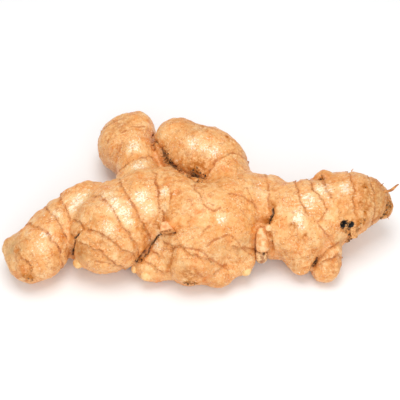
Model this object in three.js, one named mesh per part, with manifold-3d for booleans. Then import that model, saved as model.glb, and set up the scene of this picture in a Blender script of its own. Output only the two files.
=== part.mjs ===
// A hand of fresh ginger: one rhizome, grown in one piece, lying on its side on a flat surface.
//
// The rhizome is a short thick stock with stubby branches. Each branch is a round limb of changing girth
// along a curved line, and it flows into the limb that it grew from. Where an old scale leaf clasped a limb,
// a raised ring runs round it, and the skin between two rings swells like a barrel. The skin is found as the
// surface of all the limbs together, as a mesh whose points lie on the rings. Buds, a dry rootlet and a wedge
// of old leaf base are joined to it afterwards.
//
// Millimetres, +Z up. The rhizome lies on the plane z = 0, on small flats pressed into its lowest limbs.
// +X runs along its length, and +Y points from the side with the short front branches to the two back ones.

import * as THREE from "three";
import { ImprovedNoise } from "three/addons/math/ImprovedNoise.js";
import { mergeVertices } from "three/addons/utils/BufferGeometryUtils.js";
import Module from "manifold-3d";

const wasm = await Module();
wasm.setup();

// ---------------------------------------------------------------- driving dimensions, in millimetres

const CELL = 2.8; // spacing of the skin's points
const FILL = 0.1; // how far inside the skin a filled corner of the grid is taken to be
const LIP_HEIGHT = 0.7; // how far the edge of a leaf scar stands above the skin before it
const LIP_RUN = 2.4; // the distance over which it rises
const FOOT = 2.4; // from the edge to the foot of the step beyond it
const FOOT_DEPTH = 0.7; // how far that foot lies below the skin
const FOOT_RUN = 7; // the distance over which the skin rises again
const RING_REACH = 1.6; // how far out a ring runs, as a multiple of its limb's radius
const RING_FADE = 1.5; // a ring is full where its limb stands out from the others by this much
const SWELL = 0.7; // the barrel shape of the skin between two rings
const SWELL_RUN = 12; // the distance between rings at which that shape is full
const LUMP_SIZE = 12; // breadth of the skin's broad lumps
const LUMP_HEIGHT = 0.8;
const DIMPLE_SIZE = 4.5; // breadth of its dimples
const DIMPLE_HEIGHT = 0.3;
const EASE = 0.6; // the share of the way to the middle of its neighbours that evening out moves a point
const SPROUT_SIDES = 10; // faces round a sprout, where it has no number of its own
const TABLE = 400; // breadth of the slab of table that is cut away below the rhizome
const TABLE_DEPTH = 40;

// Each limb: balls is its line, as [x, y, z, radius], from where it grows out to its tip. A ring is a plane
// across the limb, as [distance along the line, slope to the side, slope upward]. blend is the breadth over
// which the limb flows into the ones before it, at its root and at its tip.
const LIMBS = [
  {
    part: "stock",
    balls: [
      [-36.5, -11.5, 16, 9],
      [-26.5, -12, 18, 14],
      [-12.5, -13.5, 20, 17],
      [1.5, -19.5, 20, 16.5],
      [14.5, -14, 20, 15],
      [24, -6.5, 20, 10],
      [32, -4.5, 19, 9],
    ],
    rings: [
      [20, 0.3, 0],
      [42, 0.15, 0.2],
      [72.5, -0.15, 0.1],
    ],
    blend: [0, 0],
  },
  {
    part: "right stock",
    balls: [
      [28.5, -6, 18, 8.5],
      [38, -15, 19, 13.5],
      [48, -14.5, 19, 14.5],
      [58.5, -10.5, 20, 14],
      [66, -8.5, 20, 13.5],
      [72, -8.5, 19.5, 12.8],
      [78.5, -8, 18.5, 8.6],
      [83.5, -10, 17, 5],
    ],
    rings: [
      [25.5, 0, 0.4],
      [31, 0.05, 0.25],
      [38, 0.1, 0.35],
      [45, 0, 0.15],
      [53, 0, 0],
    ],
    blend: [4, 4],
  },
  {
    part: "left thumb",
    balls: [
      [-42, -9, 17, 9.5],
      [-51.5, -7.5, 17, 10],
      [-60.5, -14, 15.5, 9.5],
      [-65.5, -22, 14, 11.5],
      [-71.5, -31.5, 13, 12.8],
      [-75, -33, 12, 11.5],
    ],
    rings: [
      [20.5, -0.35, 0],
      [29.5, -0.55, 0.1],
      [40, -0.15, 0.15],
      [48, 0.2, -0.2],
    ],
    blend: [5, 3.5],
  },
  {
    part: "corner of the left thumb",
    balls: [
      [-77, -31.5, 13, 7.5],
      [-83.5, -30, 13, 4.5],
    ],
    rings: [],
    blend: [5, 5],
  },
  {
    part: "left finger",
    balls: [
      [-18.5, -8, 19, 12.5],
      [-28, -14.5, 18, 16],
      [-38.5, -24, 17, 17],
      [-42, -27, 16, 15.5],
    ],
    rings: [
      [13, -0.25, -0.1],
      [25, -0.05, 0],
      [31, 0.2, -0.25],
      [38, 0.2, -0.3],
    ],
    blend: [7, 3.5],
  },
  {
    part: "skin between the left thumb and finger",
    balls: [
      [-53, -17, 10, 6],
      [-57, -28, 7.5, 6],
    ],
    rings: [],
    blend: [3, 3],
  },
  {
    part: "front left branch",
    balls: [
      [-14.5, -24.5, 13, 6.5],
      [-18, -30, 10, 7.5],
      [-20.5, -35, 8, 8],
    ],
    rings: [
      [6.5, -0.5, -0.15],
      [13, -0.35, -0.2],
    ],
    blend: [3, 1.5],
  },
  {
    part: "front branch",
    balls: [
      [-1, -23.5, 19, 15.5],
      [-2, -31, 16, 14],
      [-3.5, -36, 11.5, 11.5],
    ],
    rings: [[14, -0.1, 0.4]],
    blend: [6, 3],
  },
  {
    part: "front branch tip",
    balls: [
      [1, -34.5, 13, 9],
      [6, -39.5, 8, 7.5],
    ],
    rings: [[8, -0.2, -0.3]],
    blend: [3, 2],
  },
  {
    part: "front right branch",
    balls: [
      [11.5, -21.5, 17, 13],
      [16, -28, 14, 10],
      [19.5, -34, 10, 7],
    ],
    rings: [[12, -0.4, 0]],
    blend: [6, 2],
  },
  {
    part: "back left finger",
    balls: [
      [-26.5, -3.5, 18, 9.5],
      [-28.5, 6, 18, 10],
      [-30.5, 18, 17, 10.5],
      [-34.5, 30, 14.5, 13.8],
      [-35.5, 33.5, 13, 13.3],
    ],
    rings: [
      [5, 0, 0.4],
      [17.5, 0.3, 0.5],
      [42, 0, 0.2],
    ],
    blend: [7, 3.5],
  },
  {
    part: "corner of the back left finger",
    balls: [
      [-33, 35, 16, 9],
      [-29.5, 40, 18.5, 6.3],
    ],
    rings: [],
    blend: [5, 5],
  },
  {
    part: "back right finger",
    balls: [
      [16.5, -4, 19, 10.5],
      [10.5, 8, 22, 11.5],
      [4, 17, 23, 13.5],
      [-2, 20, 23, 13.5],
      [-9.5, 24, 26, 10.8],
    ],
    rings: [[8, 0.25, -0.4]],
    blend: [6, 3.5],
  },
  {
    part: "skin between the back fingers",
    balls: [
      [4, 3, 10, 8],
      [-12, 5, 10, 8],
      [-21, 20, 10, 7],
    ],
    rings: [],
    blend: [4, 4],
  },
  {
    part: "right front branch",
    balls: [
      [40.5, -21.5, 17, 12.5],
      [40.5, -27, 13, 9.8],
      [44, -34, 8, 4.5],
    ],
    rings: [],
    blend: [6, 3],
  },
  {
    part: "right front fold",
    balls: [
      [48, -23, 16, 11],
      [48.5, -30, 10, 7.5],
    ],
    rings: [],
    blend: [4, 3],
  },
  {
    part: "right nub",
    balls: [
      [58, -29.5, 14, 6],
      [57.5, -33, 10.5, 7],
      [56.5, -36.5, 7.2, 7.4],
    ],
    rings: [
      [3, 0.3, 0.3],
      [9, 0.3, 0.3],
    ],
    blend: [2, 1.5],
  },
  {
    part: "right lower bud",
    balls: [
      [60, -15, 18, 12],
      [63, -17.5, 15, 8.5],
      [65.5, -17.5, 14, 6.5],
    ],
    rings: [],
    blend: [3, 2],
  },
];

// Small things that stand on the skin. flat is the height of the sections as a share of their breadth.
const SPROUTS = [
  {
    part: "shoot in the cleft",
    balls: [
      [30, -23, 24, 1.8],
      [29.5, -26, 22, 3],
      [29, -29, 17.5, 3.4],
      [28.5, -31, 13.5, 2.4],
      [28.5, -31.5, 12, 2.1],
      [28, -32, 10.5, 2.8],
      [28, -33, 8.5, 2.4],
      [28, -33.5, 7, 1],
    ],
  },
  {
    part: "bud beside the left finger",
    balls: [
      [-51, -32, 10, 2],
      [-52.5, -34, 10, 2.6],
      [-54.5, -36, 9.5, 2.3],
      [-55.5, -37, 9, 1],
    ],
    sides: 8,
  },
  {
    part: "small bud beside the left finger",
    balls: [
      [-29, -36, 9, 1.3],
      [-29.5, -38, 8, 1.6],
      [-29.5, -39.5, 7, 0.8],
    ],
    sides: 8,
  },
  {
    part: "bud on the front left branch",
    balls: [
      [-23, -38, 10, 2],
      [-23.5, -41, 8, 2.6],
      [-24, -43, 6.5, 2],
      [-24, -43.7, 6, 0.8],
    ],
    sides: 8,
    flat: 0.8,
  },
  {
    part: "bud on the front right branch",
    balls: [
      [20, -36, 10, 2],
      [20.5, -39, 8.5, 2.7],
      [21, -41, 7.5, 2.1],
      [21, -41.7, 7, 0.8],
    ],
    sides: 8,
  },
  {
    part: "wedge of old leaf base",
    balls: [
      [-17.5, -27, 29, 1.6],
      [-15.5, -28.5, 29, 3],
      [-12, -31.5, 29.5, 2.4],
      [-11.5, -32, 29.5, 1.2],
    ],
    sides: 4,
    flat: 0.5,
  },
  {
    part: "root scar on the right stock",
    balls: [
      [51.5, -4.5, 26, 2],
      [53.5, -2.5, 28.5, 3.4],
      [56.5, -1.5, 29.5, 3.2],
      [59, -1.5, 28.5, 1.5],
    ],
    sides: 8,
  },
  {
    part: "dry rootlet",
    balls: [
      [82, -10, 23, 1.2],
      [84.5, -9, 26, 0.9],
      [87, -8, 27.5, 0.7],
      [89, -7.5, 29.5, 0.6],
    ],
    sides: 6,
  },
];

// ---------------------------------------------------------------- limbs as distance fields

const SAMPLE_STEP = 2; // spacing of the points along a limb's line
const NEAR = 12; // a limb further away than the skin by more than this has no part in it
const ROOT_SHARE = 0.8; // the share of a limb's length over which its blend goes from root to tip
const LEAST_BLEND = 0.01;
const noise = new ImprovedNoise();

/** A limb as a chain of points along its line, and the height of its skin. */
class Limb {
  constructor({ balls, rings, blend }) {
    const line = new THREE.CatmullRomCurve3(
      balls.map(([x, y, z]) => new THREE.Vector3(x, y, z)),
      false,
      "catmullrom",
    );
    const girth = new THREE.CatmullRomCurve3(
      balls.map(([, , , radius]) => new THREE.Vector3(radius, 0, 0)),
      false,
      "catmullrom",
    );
    this.length = line.getLength();
    const steps = Math.ceil(this.length / SAMPLE_STEP);
    this.links = Array.from({ length: steps + 1 }, (_, i) => {
      const t = line.getUtoTmapping(i / steps);
      return { centre: line.getPoint(t), radius: girth.getPoint(t).x };
    });
    this.rings = rings.map(([distance, toSide, toTop]) => {
      const at = THREE.MathUtils.clamp(distance / this.length, 0, 1);
      const along = line.getTangentAt(at);
      const side = new THREE.Vector3(0, 0, 1).cross(along).normalize();
      const top = along.clone().cross(side);
      const normal = along.clone().addScaledVector(side, toSide).addScaledVector(top, toTop).normalize();
      const centre = line.getPointAt(at).addScaledVector(along, distance - at * this.length);
      const { x: radius } = girth.getPoint(line.getUtoTmapping(at));
      return { centre, normal, reach: RING_REACH * radius };
    });
    this.blend = blend;
  }

  /** How far a point is outside the plain limb, and how far along the limb's line it is. */
  nearest(point) {
    const step = this.length / (this.links.length - 1);
    let best = null;
    for (let i = 0; i + 1 < this.links.length; i++) {
      const [from, to] = [this.links[i], this.links[i + 1]];
      const run = to.centre.clone().sub(from.centre);
      const reach = point.clone().sub(from.centre);
      let share = reach.dot(run) / run.lengthSq();
      if (i > 0) share = Math.max(0, share);
      if (i + 2 < this.links.length) share = Math.min(1, share);
      const held = THREE.MathUtils.clamp(share, 0, 1);
      const out = reach.addScaledVector(run, -held);
      const gap = out.length() - THREE.MathUtils.lerp(from.radius, to.radius, held);
      if (!best || gap < best.gap)
        best = { gap, distance: (i + share) * step };
    }
    return best;
  }

  /** The limb's rings that pass near a point, and how far ahead of the point's own place each one is. */
  ringsNear(point) {
    return this.rings
      .filter(({ centre, reach }) => centre.distanceTo(point) < reach)
      .map((ring) => ({ ring, ahead: ring.centre.clone().sub(point).dot(ring.normal) }));
  }

  /** How much the skin swells at a point, as a barrel between the rings before and after it. */
  swell(point) {
    const gaps = this.ringsNear(point).map(({ ahead }) => ahead);
    const behind = Math.min(SWELL_RUN, ...gaps.filter((ahead) => ahead <= 0).map((ahead) => -ahead));
    const ahead = Math.min(SWELL_RUN, ...gaps.filter((ahead) => ahead > 0));
    return SWELL * Math.sin((Math.PI / 2) * Math.min(1, (2 * Math.min(behind, ahead)) / SWELL_RUN));
  }

  /** Height of the limb's rings at a point: a step down, with a lip at its edge. */
  step(point) {
    return this.ringsNear(point).reduce((height, { ring, ahead }) => {
      const room = ring.reach - ring.centre.distanceTo(point);
      return height + stepProfile(-ahead) * Math.min(1, room / RING_FADE);
    }, 0);
  }
}

/** Height of the skin at a distance beyond the edge of a ring. */
function stepProfile(beyond) {
  const foot = -FOOT_DEPTH * (1 - (beyond - FOOT) / FOOT_RUN);
  if (beyond < 0) return LIP_HEIGHT * Math.max(0, 1 + beyond / LIP_RUN);
  if (beyond < FOOT) return THREE.MathUtils.lerp(LIP_HEIGHT, -FOOT_DEPTH, beyond / FOOT);
  return Math.min(0, foot);
}

const limbs = LIMBS.map((limb) => new Limb(limb));

/** Height of the lumps and dimples of the skin at a point. */
function lumpRelief(point) {
  const wave = (size) => noise.noise(point.x / size, point.y / size, point.z / size);
  return LUMP_HEIGHT * wave(LUMP_SIZE) + DIMPLE_HEIGHT * wave(DIMPLE_SIZE);
}

/** How far a point is outside the smooth skin, negative inside, and the same for each limb near it. */
function skinAt(point) {
  let gap = Infinity;
  const owns = [];
  for (const limb of limbs) {
    const near = limb.nearest(point);
    if (near.gap > gap + NEAR) continue;
    const own = near.gap - limb.swell(point);
    const share = THREE.MathUtils.smoothstep(near.distance, 0, limb.length * ROOT_SHARE);
    const width = Math.max(LEAST_BLEND, THREE.MathUtils.lerp(...limb.blend, share));
    const overlap = Math.max(0, width - Math.abs(own - gap)) / width;
    gap = Math.min(own, gap) - (overlap * overlap * width) / 4;
    owns.push({ own, limb });
  }
  return { gap: gap - lumpRelief(point), depths: owns.map(({ own, limb }) => ({ limb, depth: own - gap })) };
}

/** The limb that makes the skin at a point, and how deep under it the next limb lies. */
function outermost(point) {
  const [first, second] = skinAt(point).depths.sort((one, other) => one.depth - other.depth);
  return { limb: first.limb, clear: second ? second.depth - first.depth : Infinity };
}

/** Height of the leaf scars over the smooth skin at a point. They fade out where one limb meets another. */
function scarHeight(point) {
  const { limb, clear } = outermost(point);
  return limb.step(point) * Math.min(1, clear / RING_FADE);
}

const PROBE = 0.2; // spacing of the points that the slope of the skin is read from
const SETTLE_STEP = 1; // the furthest that a point moves in one round of settling
const AXES = ["x", "y", "z"];

/** Which way the smooth skin faces at a point. */
function facing(point) {
  const { gap } = skinAt(point);
  const slope = AXES.map((axis) => {
    const probe = point.clone();
    probe[axis] += PROBE;
    return skinAt(probe).gap - gap;
  });
  return new THREE.Vector3(...slope).normalize();
}

/** Moves a point onto the smooth skin. */
function settle(point, rounds) {
  for (let i = 0; i < rounds; i++) {
    const rise = THREE.MathUtils.clamp(-skinAt(point).gap, -SETTLE_STEP, SETTLE_STEP);
    point.addScaledVector(facing(point), rise);
  }
}

// ---------------------------------------------------------------- the field's surface as a mesh

/** Fills corners of the grid where the skin would otherwise touch itself along an edge. */
function fillTouching(gaps, strides) {
  for (let filled = -1; filled !== 0; ) {
    filled = 0;
    for (let at = 0; at < gaps.length - strides[2] - strides[1]; at++)
      for (let axis = 0; axis < 3; axis++) {
        const [u, v] = [strides[(axis + 1) % 3], strides[(axis + 2) % 3]];
        const corners = [at, at + u, at + u + v, at + v];
        const [a, b, c, d] = corners.map((corner) => gaps[corner] < 0);
        if (a !== c || b !== d || a === b) continue;
        const [one, other] = corners.filter((corner) => gaps[corner] >= 0);
        gaps[gaps[one] < gaps[other] ? one : other] = -FILL;
        filled++;
      }
  }
}

/** The skin as a closed mesh: a point in each cell that it crosses, and a face round each crossed edge. */
function skinMesh() {
  const box = new THREE.Box3();
  for (const { links } of limbs)
    for (const { centre, radius } of links) {
      box.expandByPoint(centre.clone().addScalar(radius + 2 * CELL));
      box.expandByPoint(centre.clone().subScalar(radius + 2 * CELL));
    }
  const count = box.getSize(new THREE.Vector3()).divideScalar(CELL).ceil().addScalar(2);
  const [nx, ny, nz] = count.toArray();
  const strides = [1, nx, nx * ny];
  const corner = (i, j, k) => new THREE.Vector3(i, j, k).multiplyScalar(CELL).add(box.min);
  const gaps = new Float32Array(nx * ny * nz);
  for (let k = 0, at = 0; k < nz; k++)
    for (let j = 0; j < ny; j++) for (let i = 0; i < nx; i++, at++) gaps[at] = skinAt(corner(i, j, k)).gap;
  fillTouching(gaps, strides);

  const points = [];
  const pointOf = new Map();
  for (let k = 0; k < nz - 1; k++)
    for (let j = 0; j < ny - 1; j++)
      for (let i = 0; i < nx - 1; i++) {
        const sum = new THREE.Vector3();
        let crossings = 0;
        const start = i + j * nx + k * nx * ny;
        for (let a = 0; a < 8; a++)
          for (let axis = 0; axis < 3; axis++) {
            if (a & (1 << axis)) continue;
            const bits = [a & 1, (a >> 1) & 1, (a >> 2) & 1];
            const one = start + bits[0] + bits[1] * strides[1] + bits[2] * strides[2];
            const [from, to] = [gaps[one], gaps[one + strides[axis]]];
            if (from < 0 === to < 0) continue;
            bits[axis] = from / (from - to);
            sum.add(corner(i + bits[0], j + bits[1], k + bits[2]));
            crossings++;
          }
        if (crossings) {
          pointOf.set(start, points.length);
          points.push(sum.divideScalar(crossings));
        }
      }

  const quads = [];
  for (let k = 1; k < nz - 1; k++)
    for (let j = 1; j < ny - 1; j++)
      for (let i = 1; i < nx - 1; i++)
        for (let axis = 0; axis < 3; axis++) {
          const at = i + j * nx + k * nx * ny;
          const [here, there] = [gaps[at] < 0, gaps[at + strides[axis]] < 0];
          if (here === there) continue;
          const [u, v] = [strides[(axis + 1) % 3], strides[(axis + 2) % 3]];
          const quad = [at - u - v, at - v, at, at - u].map((cell) => pointOf.get(cell));
          quads.push(here ? quad : quad.toReversed());
        }
  return { points, quads };
}

const SNAP_SHARE = 0.5; // a point within this share of a cell from the edge of a ring is laid on it
const CREASE = 1; // where two limbs are this close to level, the crease between them is left soft

/** Lays a point that is near the edge of a ring on it, and tells which ring that was. */
function layOnRing(point) {
  const rings = outermost(point).limb.ringsNear(point);
  const close = rings.find(({ ahead }) => Math.abs(ahead) < CELL * SNAP_SHARE);
  if (!close) return null;
  point.addScaledVector(close.ring.normal, close.ahead);
  return close.ring;
}

/** Moves each point towards the middle of the points beside it. A point on a ring keeps to that ring. */
function evenOut(points, beside, rings) {
  const evened = points.map((point, i) => {
    const others = beside[i].filter((other) => !rings[i] || rings[other] === rings[i]);
    if (rings[i] && others.length !== 2) return point.clone();
    const mean = others.reduce((sum, other) => sum.add(points[other]), new THREE.Vector3());
    return mean.divideScalar(others.length).lerp(point, 1 - EASE);
  });
  evened.forEach((point, i) => {
    if (outermost(point).clear > CREASE) settle(point, 2);
    const ring = rings[i];
    if (ring) point.addScaledVector(ring.normal, ring.centre.clone().sub(point).dot(ring.normal));
    points[i].copy(point);
  });
}

/** The skin as a solid: its points are evened out and laid along the rings, and then the rings are raised. */
function finishedSkin() {
  const { points, quads } = skinMesh();
  const sets = points.map(() => new Set());
  for (const quad of quads) quad.forEach((p, i) => sets[p].add(quad[(i + 1) % 4]).add(quad[(i + 3) % 4]));
  const beside = sets.map((set) => [...set]);
  const free = points.map(() => null);
  for (let round = 0; round < 3; round++) evenOut(points, beside, free);
  const rings = points.map(layOnRing);
  for (let round = 0; round < 3; round++) evenOut(points, beside, rings);
  const heights = points.map(scarHeight);
  points.forEach((point, i) => point.addScaledVector(facing(point), heights[i]));
  const edges = sets.map((set) => new Set(set));
  const faces = quads.flatMap(([a, b, c, d]) => {
    const worth = (p, q) => (rings[p] && rings[p] === rings[q] ? 0 : 1) + (edges[p].has(q) ? 2 : 0);
    const longer = points[a].distanceTo(points[c]) - points[b].distanceTo(points[d]);
    const worse = worth(a, c) - worth(b, d) || longer;
    const [p, q] = worse < 0 ? [a, c] : [b, d];
    edges[p].add(q);
    edges[q].add(p);
    return worse < 0 ? [a, b, c, a, c, d] : [a, b, d, b, c, d];
  });
  return solidFrom(points, faces);
}

/** A solid from a three.js geometry. */
function solidOf(geometry) {
  geometry.deleteAttribute("normal");
  geometry.deleteAttribute("uv");
  const { attributes, index } = mergeVertices(geometry);
  const { array: vertProperties } = attributes.position;
  const triVerts = new Uint32Array(index.array);
  return new wasm.Manifold(new wasm.Mesh({ numProp: 3, vertProperties, triVerts }));
}

/** A solid from points and triples of their numbers. */
function solidFrom(points, faces) {
  const mesh = new wasm.Mesh({
    numProp: 3,
    vertProperties: new Float32Array(points.flatMap((p) => [p.x, p.y, p.z])),
    triVerts: new Uint32Array(faces),
  });
  return new wasm.Manifold(mesh);
}

/** The surface that the rhizome lies on, as a slab whose top is z = 0. */
function tableSolid() {
  return solidOf(new THREE.BoxGeometry(TABLE, TABLE, TABLE_DEPTH).translate(0, 0, -TABLE_DEPTH / 2));
}

/** A small sprout: round sections along a line of [x, y, z, radius], closed at both ends. */
function sproutSolid({ balls, sides = SPROUT_SIDES, flat = 1 }) {
  const centres = balls.map(([x, y, z]) => new THREE.Vector3(x, y, z));
  const points = [centres[0]];
  centres.forEach((centre, i) => {
    const [before, after] = [centres[i - 1] ?? centre, centres[i + 1] ?? centre];
    const along = after.clone().sub(before).normalize();
    const side = new THREE.Vector3(0, 0, 1).cross(along).normalize();
    const top = along.clone().cross(side);
    for (let k = 0; k < sides; k++) {
      const turn = (2 * Math.PI * k) / sides;
      const [across, up] = [balls[i][3] * Math.cos(turn), balls[i][3] * flat * Math.sin(turn)];
      points.push(centre.clone().addScaledVector(side, across).addScaledVector(top, up));
    }
  });
  points.push(centres.at(-1));
  const faces = [];
  for (let k = 0; k < sides; k++) {
    const next = (k + 1) % sides;
    faces.push(0, 1 + next, 1 + k);
    for (let row = 1; row < centres.length * sides - sides; row += sides)
      faces.push(row + k, row + next, row + sides + next, row + k, row + sides + next, row + sides + k);
    const last = 1 + (centres.length - 1) * sides;
    faces.push(points.length - 1, last + k, last + next);
  }
  return solidFrom(points, faces);
}

// ---------------------------------------------------------------- the rhizome

const grown = SPROUTS.map(sproutSolid).reduce((whole, sprout) => whole.add(sprout), finishedSkin());
const rested = grown.subtract(tableSolid());
const { vertProperties, triVerts } = rested.getMesh();

const skin = new THREE.BufferGeometry()
  .setAttribute("position", new THREE.BufferAttribute(vertProperties, 3))
  .setIndex(new THREE.BufferAttribute(triVerts, 1));
skin.computeBoundingBox();
const middle = skin.boundingBox.getCenter(new THREE.Vector3());
skin.translate(-middle.x, -middle.y, 0);
skin.computeVertexNormals();

const rhizome = new THREE.Mesh(
  skin,
  new THREE.MeshStandardMaterial({ color: 0xd9a066, roughness: 0.55, metalness: 0 }),
);
rhizome.name = "rhizome";

const ginger = new THREE.Group();
ginger.add(rhizome);

export default ginger;
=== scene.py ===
"""A hand of fresh ginger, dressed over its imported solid.

The sizes in this file are millimetres, in the frame of the solid: +X runs along the rhizome, +Y to its two
long back fingers, and it lies on z = 0. Blender's own lengths are metres, so each mesh is scaled by MM.

The skin is modelled in three steps. The limbs are blocked out as balls and joined by a voxel remesh, the
points are moved onto the smooth skin of the limbs, and the rings, creases, scars and wrinkles are raised
from it. What the points know about their place, such as how far the nearest ring is, is kept in attributes
that the skin's finish reads. Buds, dry shreds, rootlets and soil are pieces of their own.
"""

from __future__ import annotations

import logging
import math
from collections.abc import Callable
from dataclasses import dataclass, field
from enum import Enum, IntEnum
from itertools import pairwise

import bpy
import numpy as np
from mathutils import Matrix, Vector

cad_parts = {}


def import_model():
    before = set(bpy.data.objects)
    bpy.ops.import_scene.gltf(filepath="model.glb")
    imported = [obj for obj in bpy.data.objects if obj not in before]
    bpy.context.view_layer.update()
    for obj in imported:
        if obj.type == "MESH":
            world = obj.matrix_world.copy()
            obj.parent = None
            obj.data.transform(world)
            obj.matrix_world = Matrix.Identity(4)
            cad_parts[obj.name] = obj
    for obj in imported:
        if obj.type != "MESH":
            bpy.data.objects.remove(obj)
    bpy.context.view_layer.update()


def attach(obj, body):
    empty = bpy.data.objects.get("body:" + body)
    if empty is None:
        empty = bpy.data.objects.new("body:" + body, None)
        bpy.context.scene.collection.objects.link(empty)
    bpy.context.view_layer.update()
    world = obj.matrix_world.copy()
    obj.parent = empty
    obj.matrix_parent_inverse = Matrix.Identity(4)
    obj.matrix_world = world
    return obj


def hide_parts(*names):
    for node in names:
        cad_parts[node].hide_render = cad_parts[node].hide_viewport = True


LOG = logging.getLogger("ginger")

MM = 0.001
NODE = "rhizome"
BODY = "root"
TINY = 1e-9
FAR = 1e3

Point = tuple[float, float, float]
Colour = tuple[float, float, float]
Line = list[tuple[float, float, float, float]]


class Seed(IntEnum):
    """The number that each random draw starts from."""

    FIBRES = 3
    WRINKLES = 5
    LUMPS = 7
    KNOBS = 9
    RINGS = 11
    WANDER = 15
    FLATS = 21
    LITTER = 33


# ------------------------------------------------------------------ noise and small mesh helpers


class Clouds:
    """Smooth random hills in space, the same each time for the same seed."""

    SLOPES = 256  # how many slopes there are to choose from, a power of two
    GAIN = 1.6  # brings most heights to between -1 and 1

    def __init__(self, seed: int) -> None:
        """Draw the slopes that the hills are made from.

        Args:
            seed: The number that the draw starts from.
        """
        draw = np.random.default_rng(seed)
        slopes = draw.normal(size=(self.SLOPES, 3))
        self.order = draw.permutation(self.SLOPES)
        self.slopes = slopes / np.linalg.norm(slopes, axis=1, keepdims=True)

    def at(self, points: np.ndarray, size: float | Point) -> np.ndarray:
        """Find the height of the hills at some points.

        Args:
            points: The points, one a row.
            size: The breadth of a hill, or its breadth along each axis.

        Returns:
            A height for each point, mostly between -1 and 1.
        """
        place = points / np.asarray(size)
        cell = np.floor(place).astype(int)
        share = place - cell
        ease = share**3 * (share * (share * 6 - 15) + 10)
        total = np.zeros(len(points))
        last = self.SLOPES - 1
        for corner in np.ndindex(2, 2, 2):
            turn = self.order[(cell[:, 0] + corner[0]) & last]
            turn = self.order[(turn + cell[:, 1] + corner[1]) & last]
            turn = self.order[(turn + cell[:, 2] + corner[2]) & last]
            weight = np.prod(np.where(corner, ease, 1 - ease), axis=1)
            total += weight * np.einsum("ij,ij->i", self.slopes[turn], share - corner)
        return total * self.GAIN


def smooth_step(value: np.ndarray, low: float, high: float) -> np.ndarray:
    """Rise smoothly from 0 at low to 1 at high.

    Args:
        value: The values to read.
        low: The value that gives 0.
        high: The value that gives 1; it may be less than low.

    Returns:
        A share for each value.
    """
    share = np.clip((value - low) / (high - low), 0, 1)
    return share * share * (3 - 2 * share)


def unit(vectors: np.ndarray) -> np.ndarray:
    """Scale vectors to length 1."""
    return vectors / np.maximum(np.linalg.norm(vectors, axis=-1, keepdims=True), TINY)


def deselect() -> None:
    """Leave object mode's selection empty."""
    bpy.ops.object.select_all(action="DESELECT")


def name_active(name: str) -> bpy.types.Object:
    """Name the active object and its mesh.

    Args:
        name: The name for both.

    Returns:
        The object.
    """
    piece = bpy.context.object
    piece.name = piece.data.name = name
    return piece


def mesh_points(mesh: bpy.types.Mesh) -> np.ndarray:
    """Read a mesh's points.

    Args:
        mesh: The mesh.

    Returns:
        The points in millimetres, one a row.
    """
    flat = np.empty(len(mesh.vertices) * 3)
    mesh.vertices.foreach_get("co", flat)
    return flat.reshape(-1, 3) / MM


def place_points(mesh: bpy.types.Mesh, points: np.ndarray) -> None:
    """Move a mesh's points to places given in millimetres."""
    mesh.vertices.foreach_set("co", (points * MM).ravel())
    mesh.update()


def point_normals(mesh: bpy.types.Mesh) -> np.ndarray:
    """Read which way a mesh faces at each of its points.

    Args:
        mesh: The mesh.

    Returns:
        The directions, one a row.
    """
    flat = np.empty(len(mesh.vertices) * 3)
    mesh.vertices.foreach_get("normal", flat)
    return flat.reshape(-1, 3)


def keep_attribute(mesh: bpy.types.Mesh, name: str, values: np.ndarray) -> None:
    """Keep a number or a vector for each point of a mesh.

    Args:
        mesh: The mesh.
        name: The name that a finish reads it by.
        values: One number, or one row of three, for each point.
    """
    many = values.ndim == 2
    attribute = mesh.attributes.new(name, "FLOAT_VECTOR" if many else "FLOAT", "POINT")
    attribute.data.foreach_set("vector" if many else "value", values.astype(np.float32).ravel())


def made_mesh(name: str, points: np.ndarray, faces: list[list[int]]) -> bpy.types.Object:
    """Make an object from points in millimetres and faces.

    Args:
        name: The object's name.
        points: The points, one a row.
        faces: The faces, as lists of point numbers.

    Returns:
        The new object, shaded smooth.
    """
    mesh = bpy.data.meshes.new(name)
    mesh.from_pydata((points * MM).tolist(), [], faces)
    mesh.update()
    mesh.shade_smooth()
    piece = bpy.data.objects.new(name, mesh)
    bpy.context.scene.collection.objects.link(piece)
    return piece


def copies_of(model: bpy.types.Object, frames: list[np.ndarray], name: str) -> bpy.types.Object:
    """Copy a small model to many places, as one object, and remove the model.

    Args:
        model: The model, with one of Blender's units for each unit of the frames.
        frames: For each copy, a 4 by 3 array: its three axes, scaled, and its place.
        name: The new object's name.

    Returns:
        The object that holds all the copies.
    """
    mesh = model.data
    shape = mesh_points(mesh) * MM
    sides = [list(face.vertices) for face in mesh.polygons]
    points = np.concatenate([shape @ frame[:3] + frame[3] for frame in frames])
    faces = [[at * len(shape) + corner for corner in side] for at in range(len(frames)) for side in sides]
    bpy.data.objects.remove(model)
    return made_mesh(name, points, faces)


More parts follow.
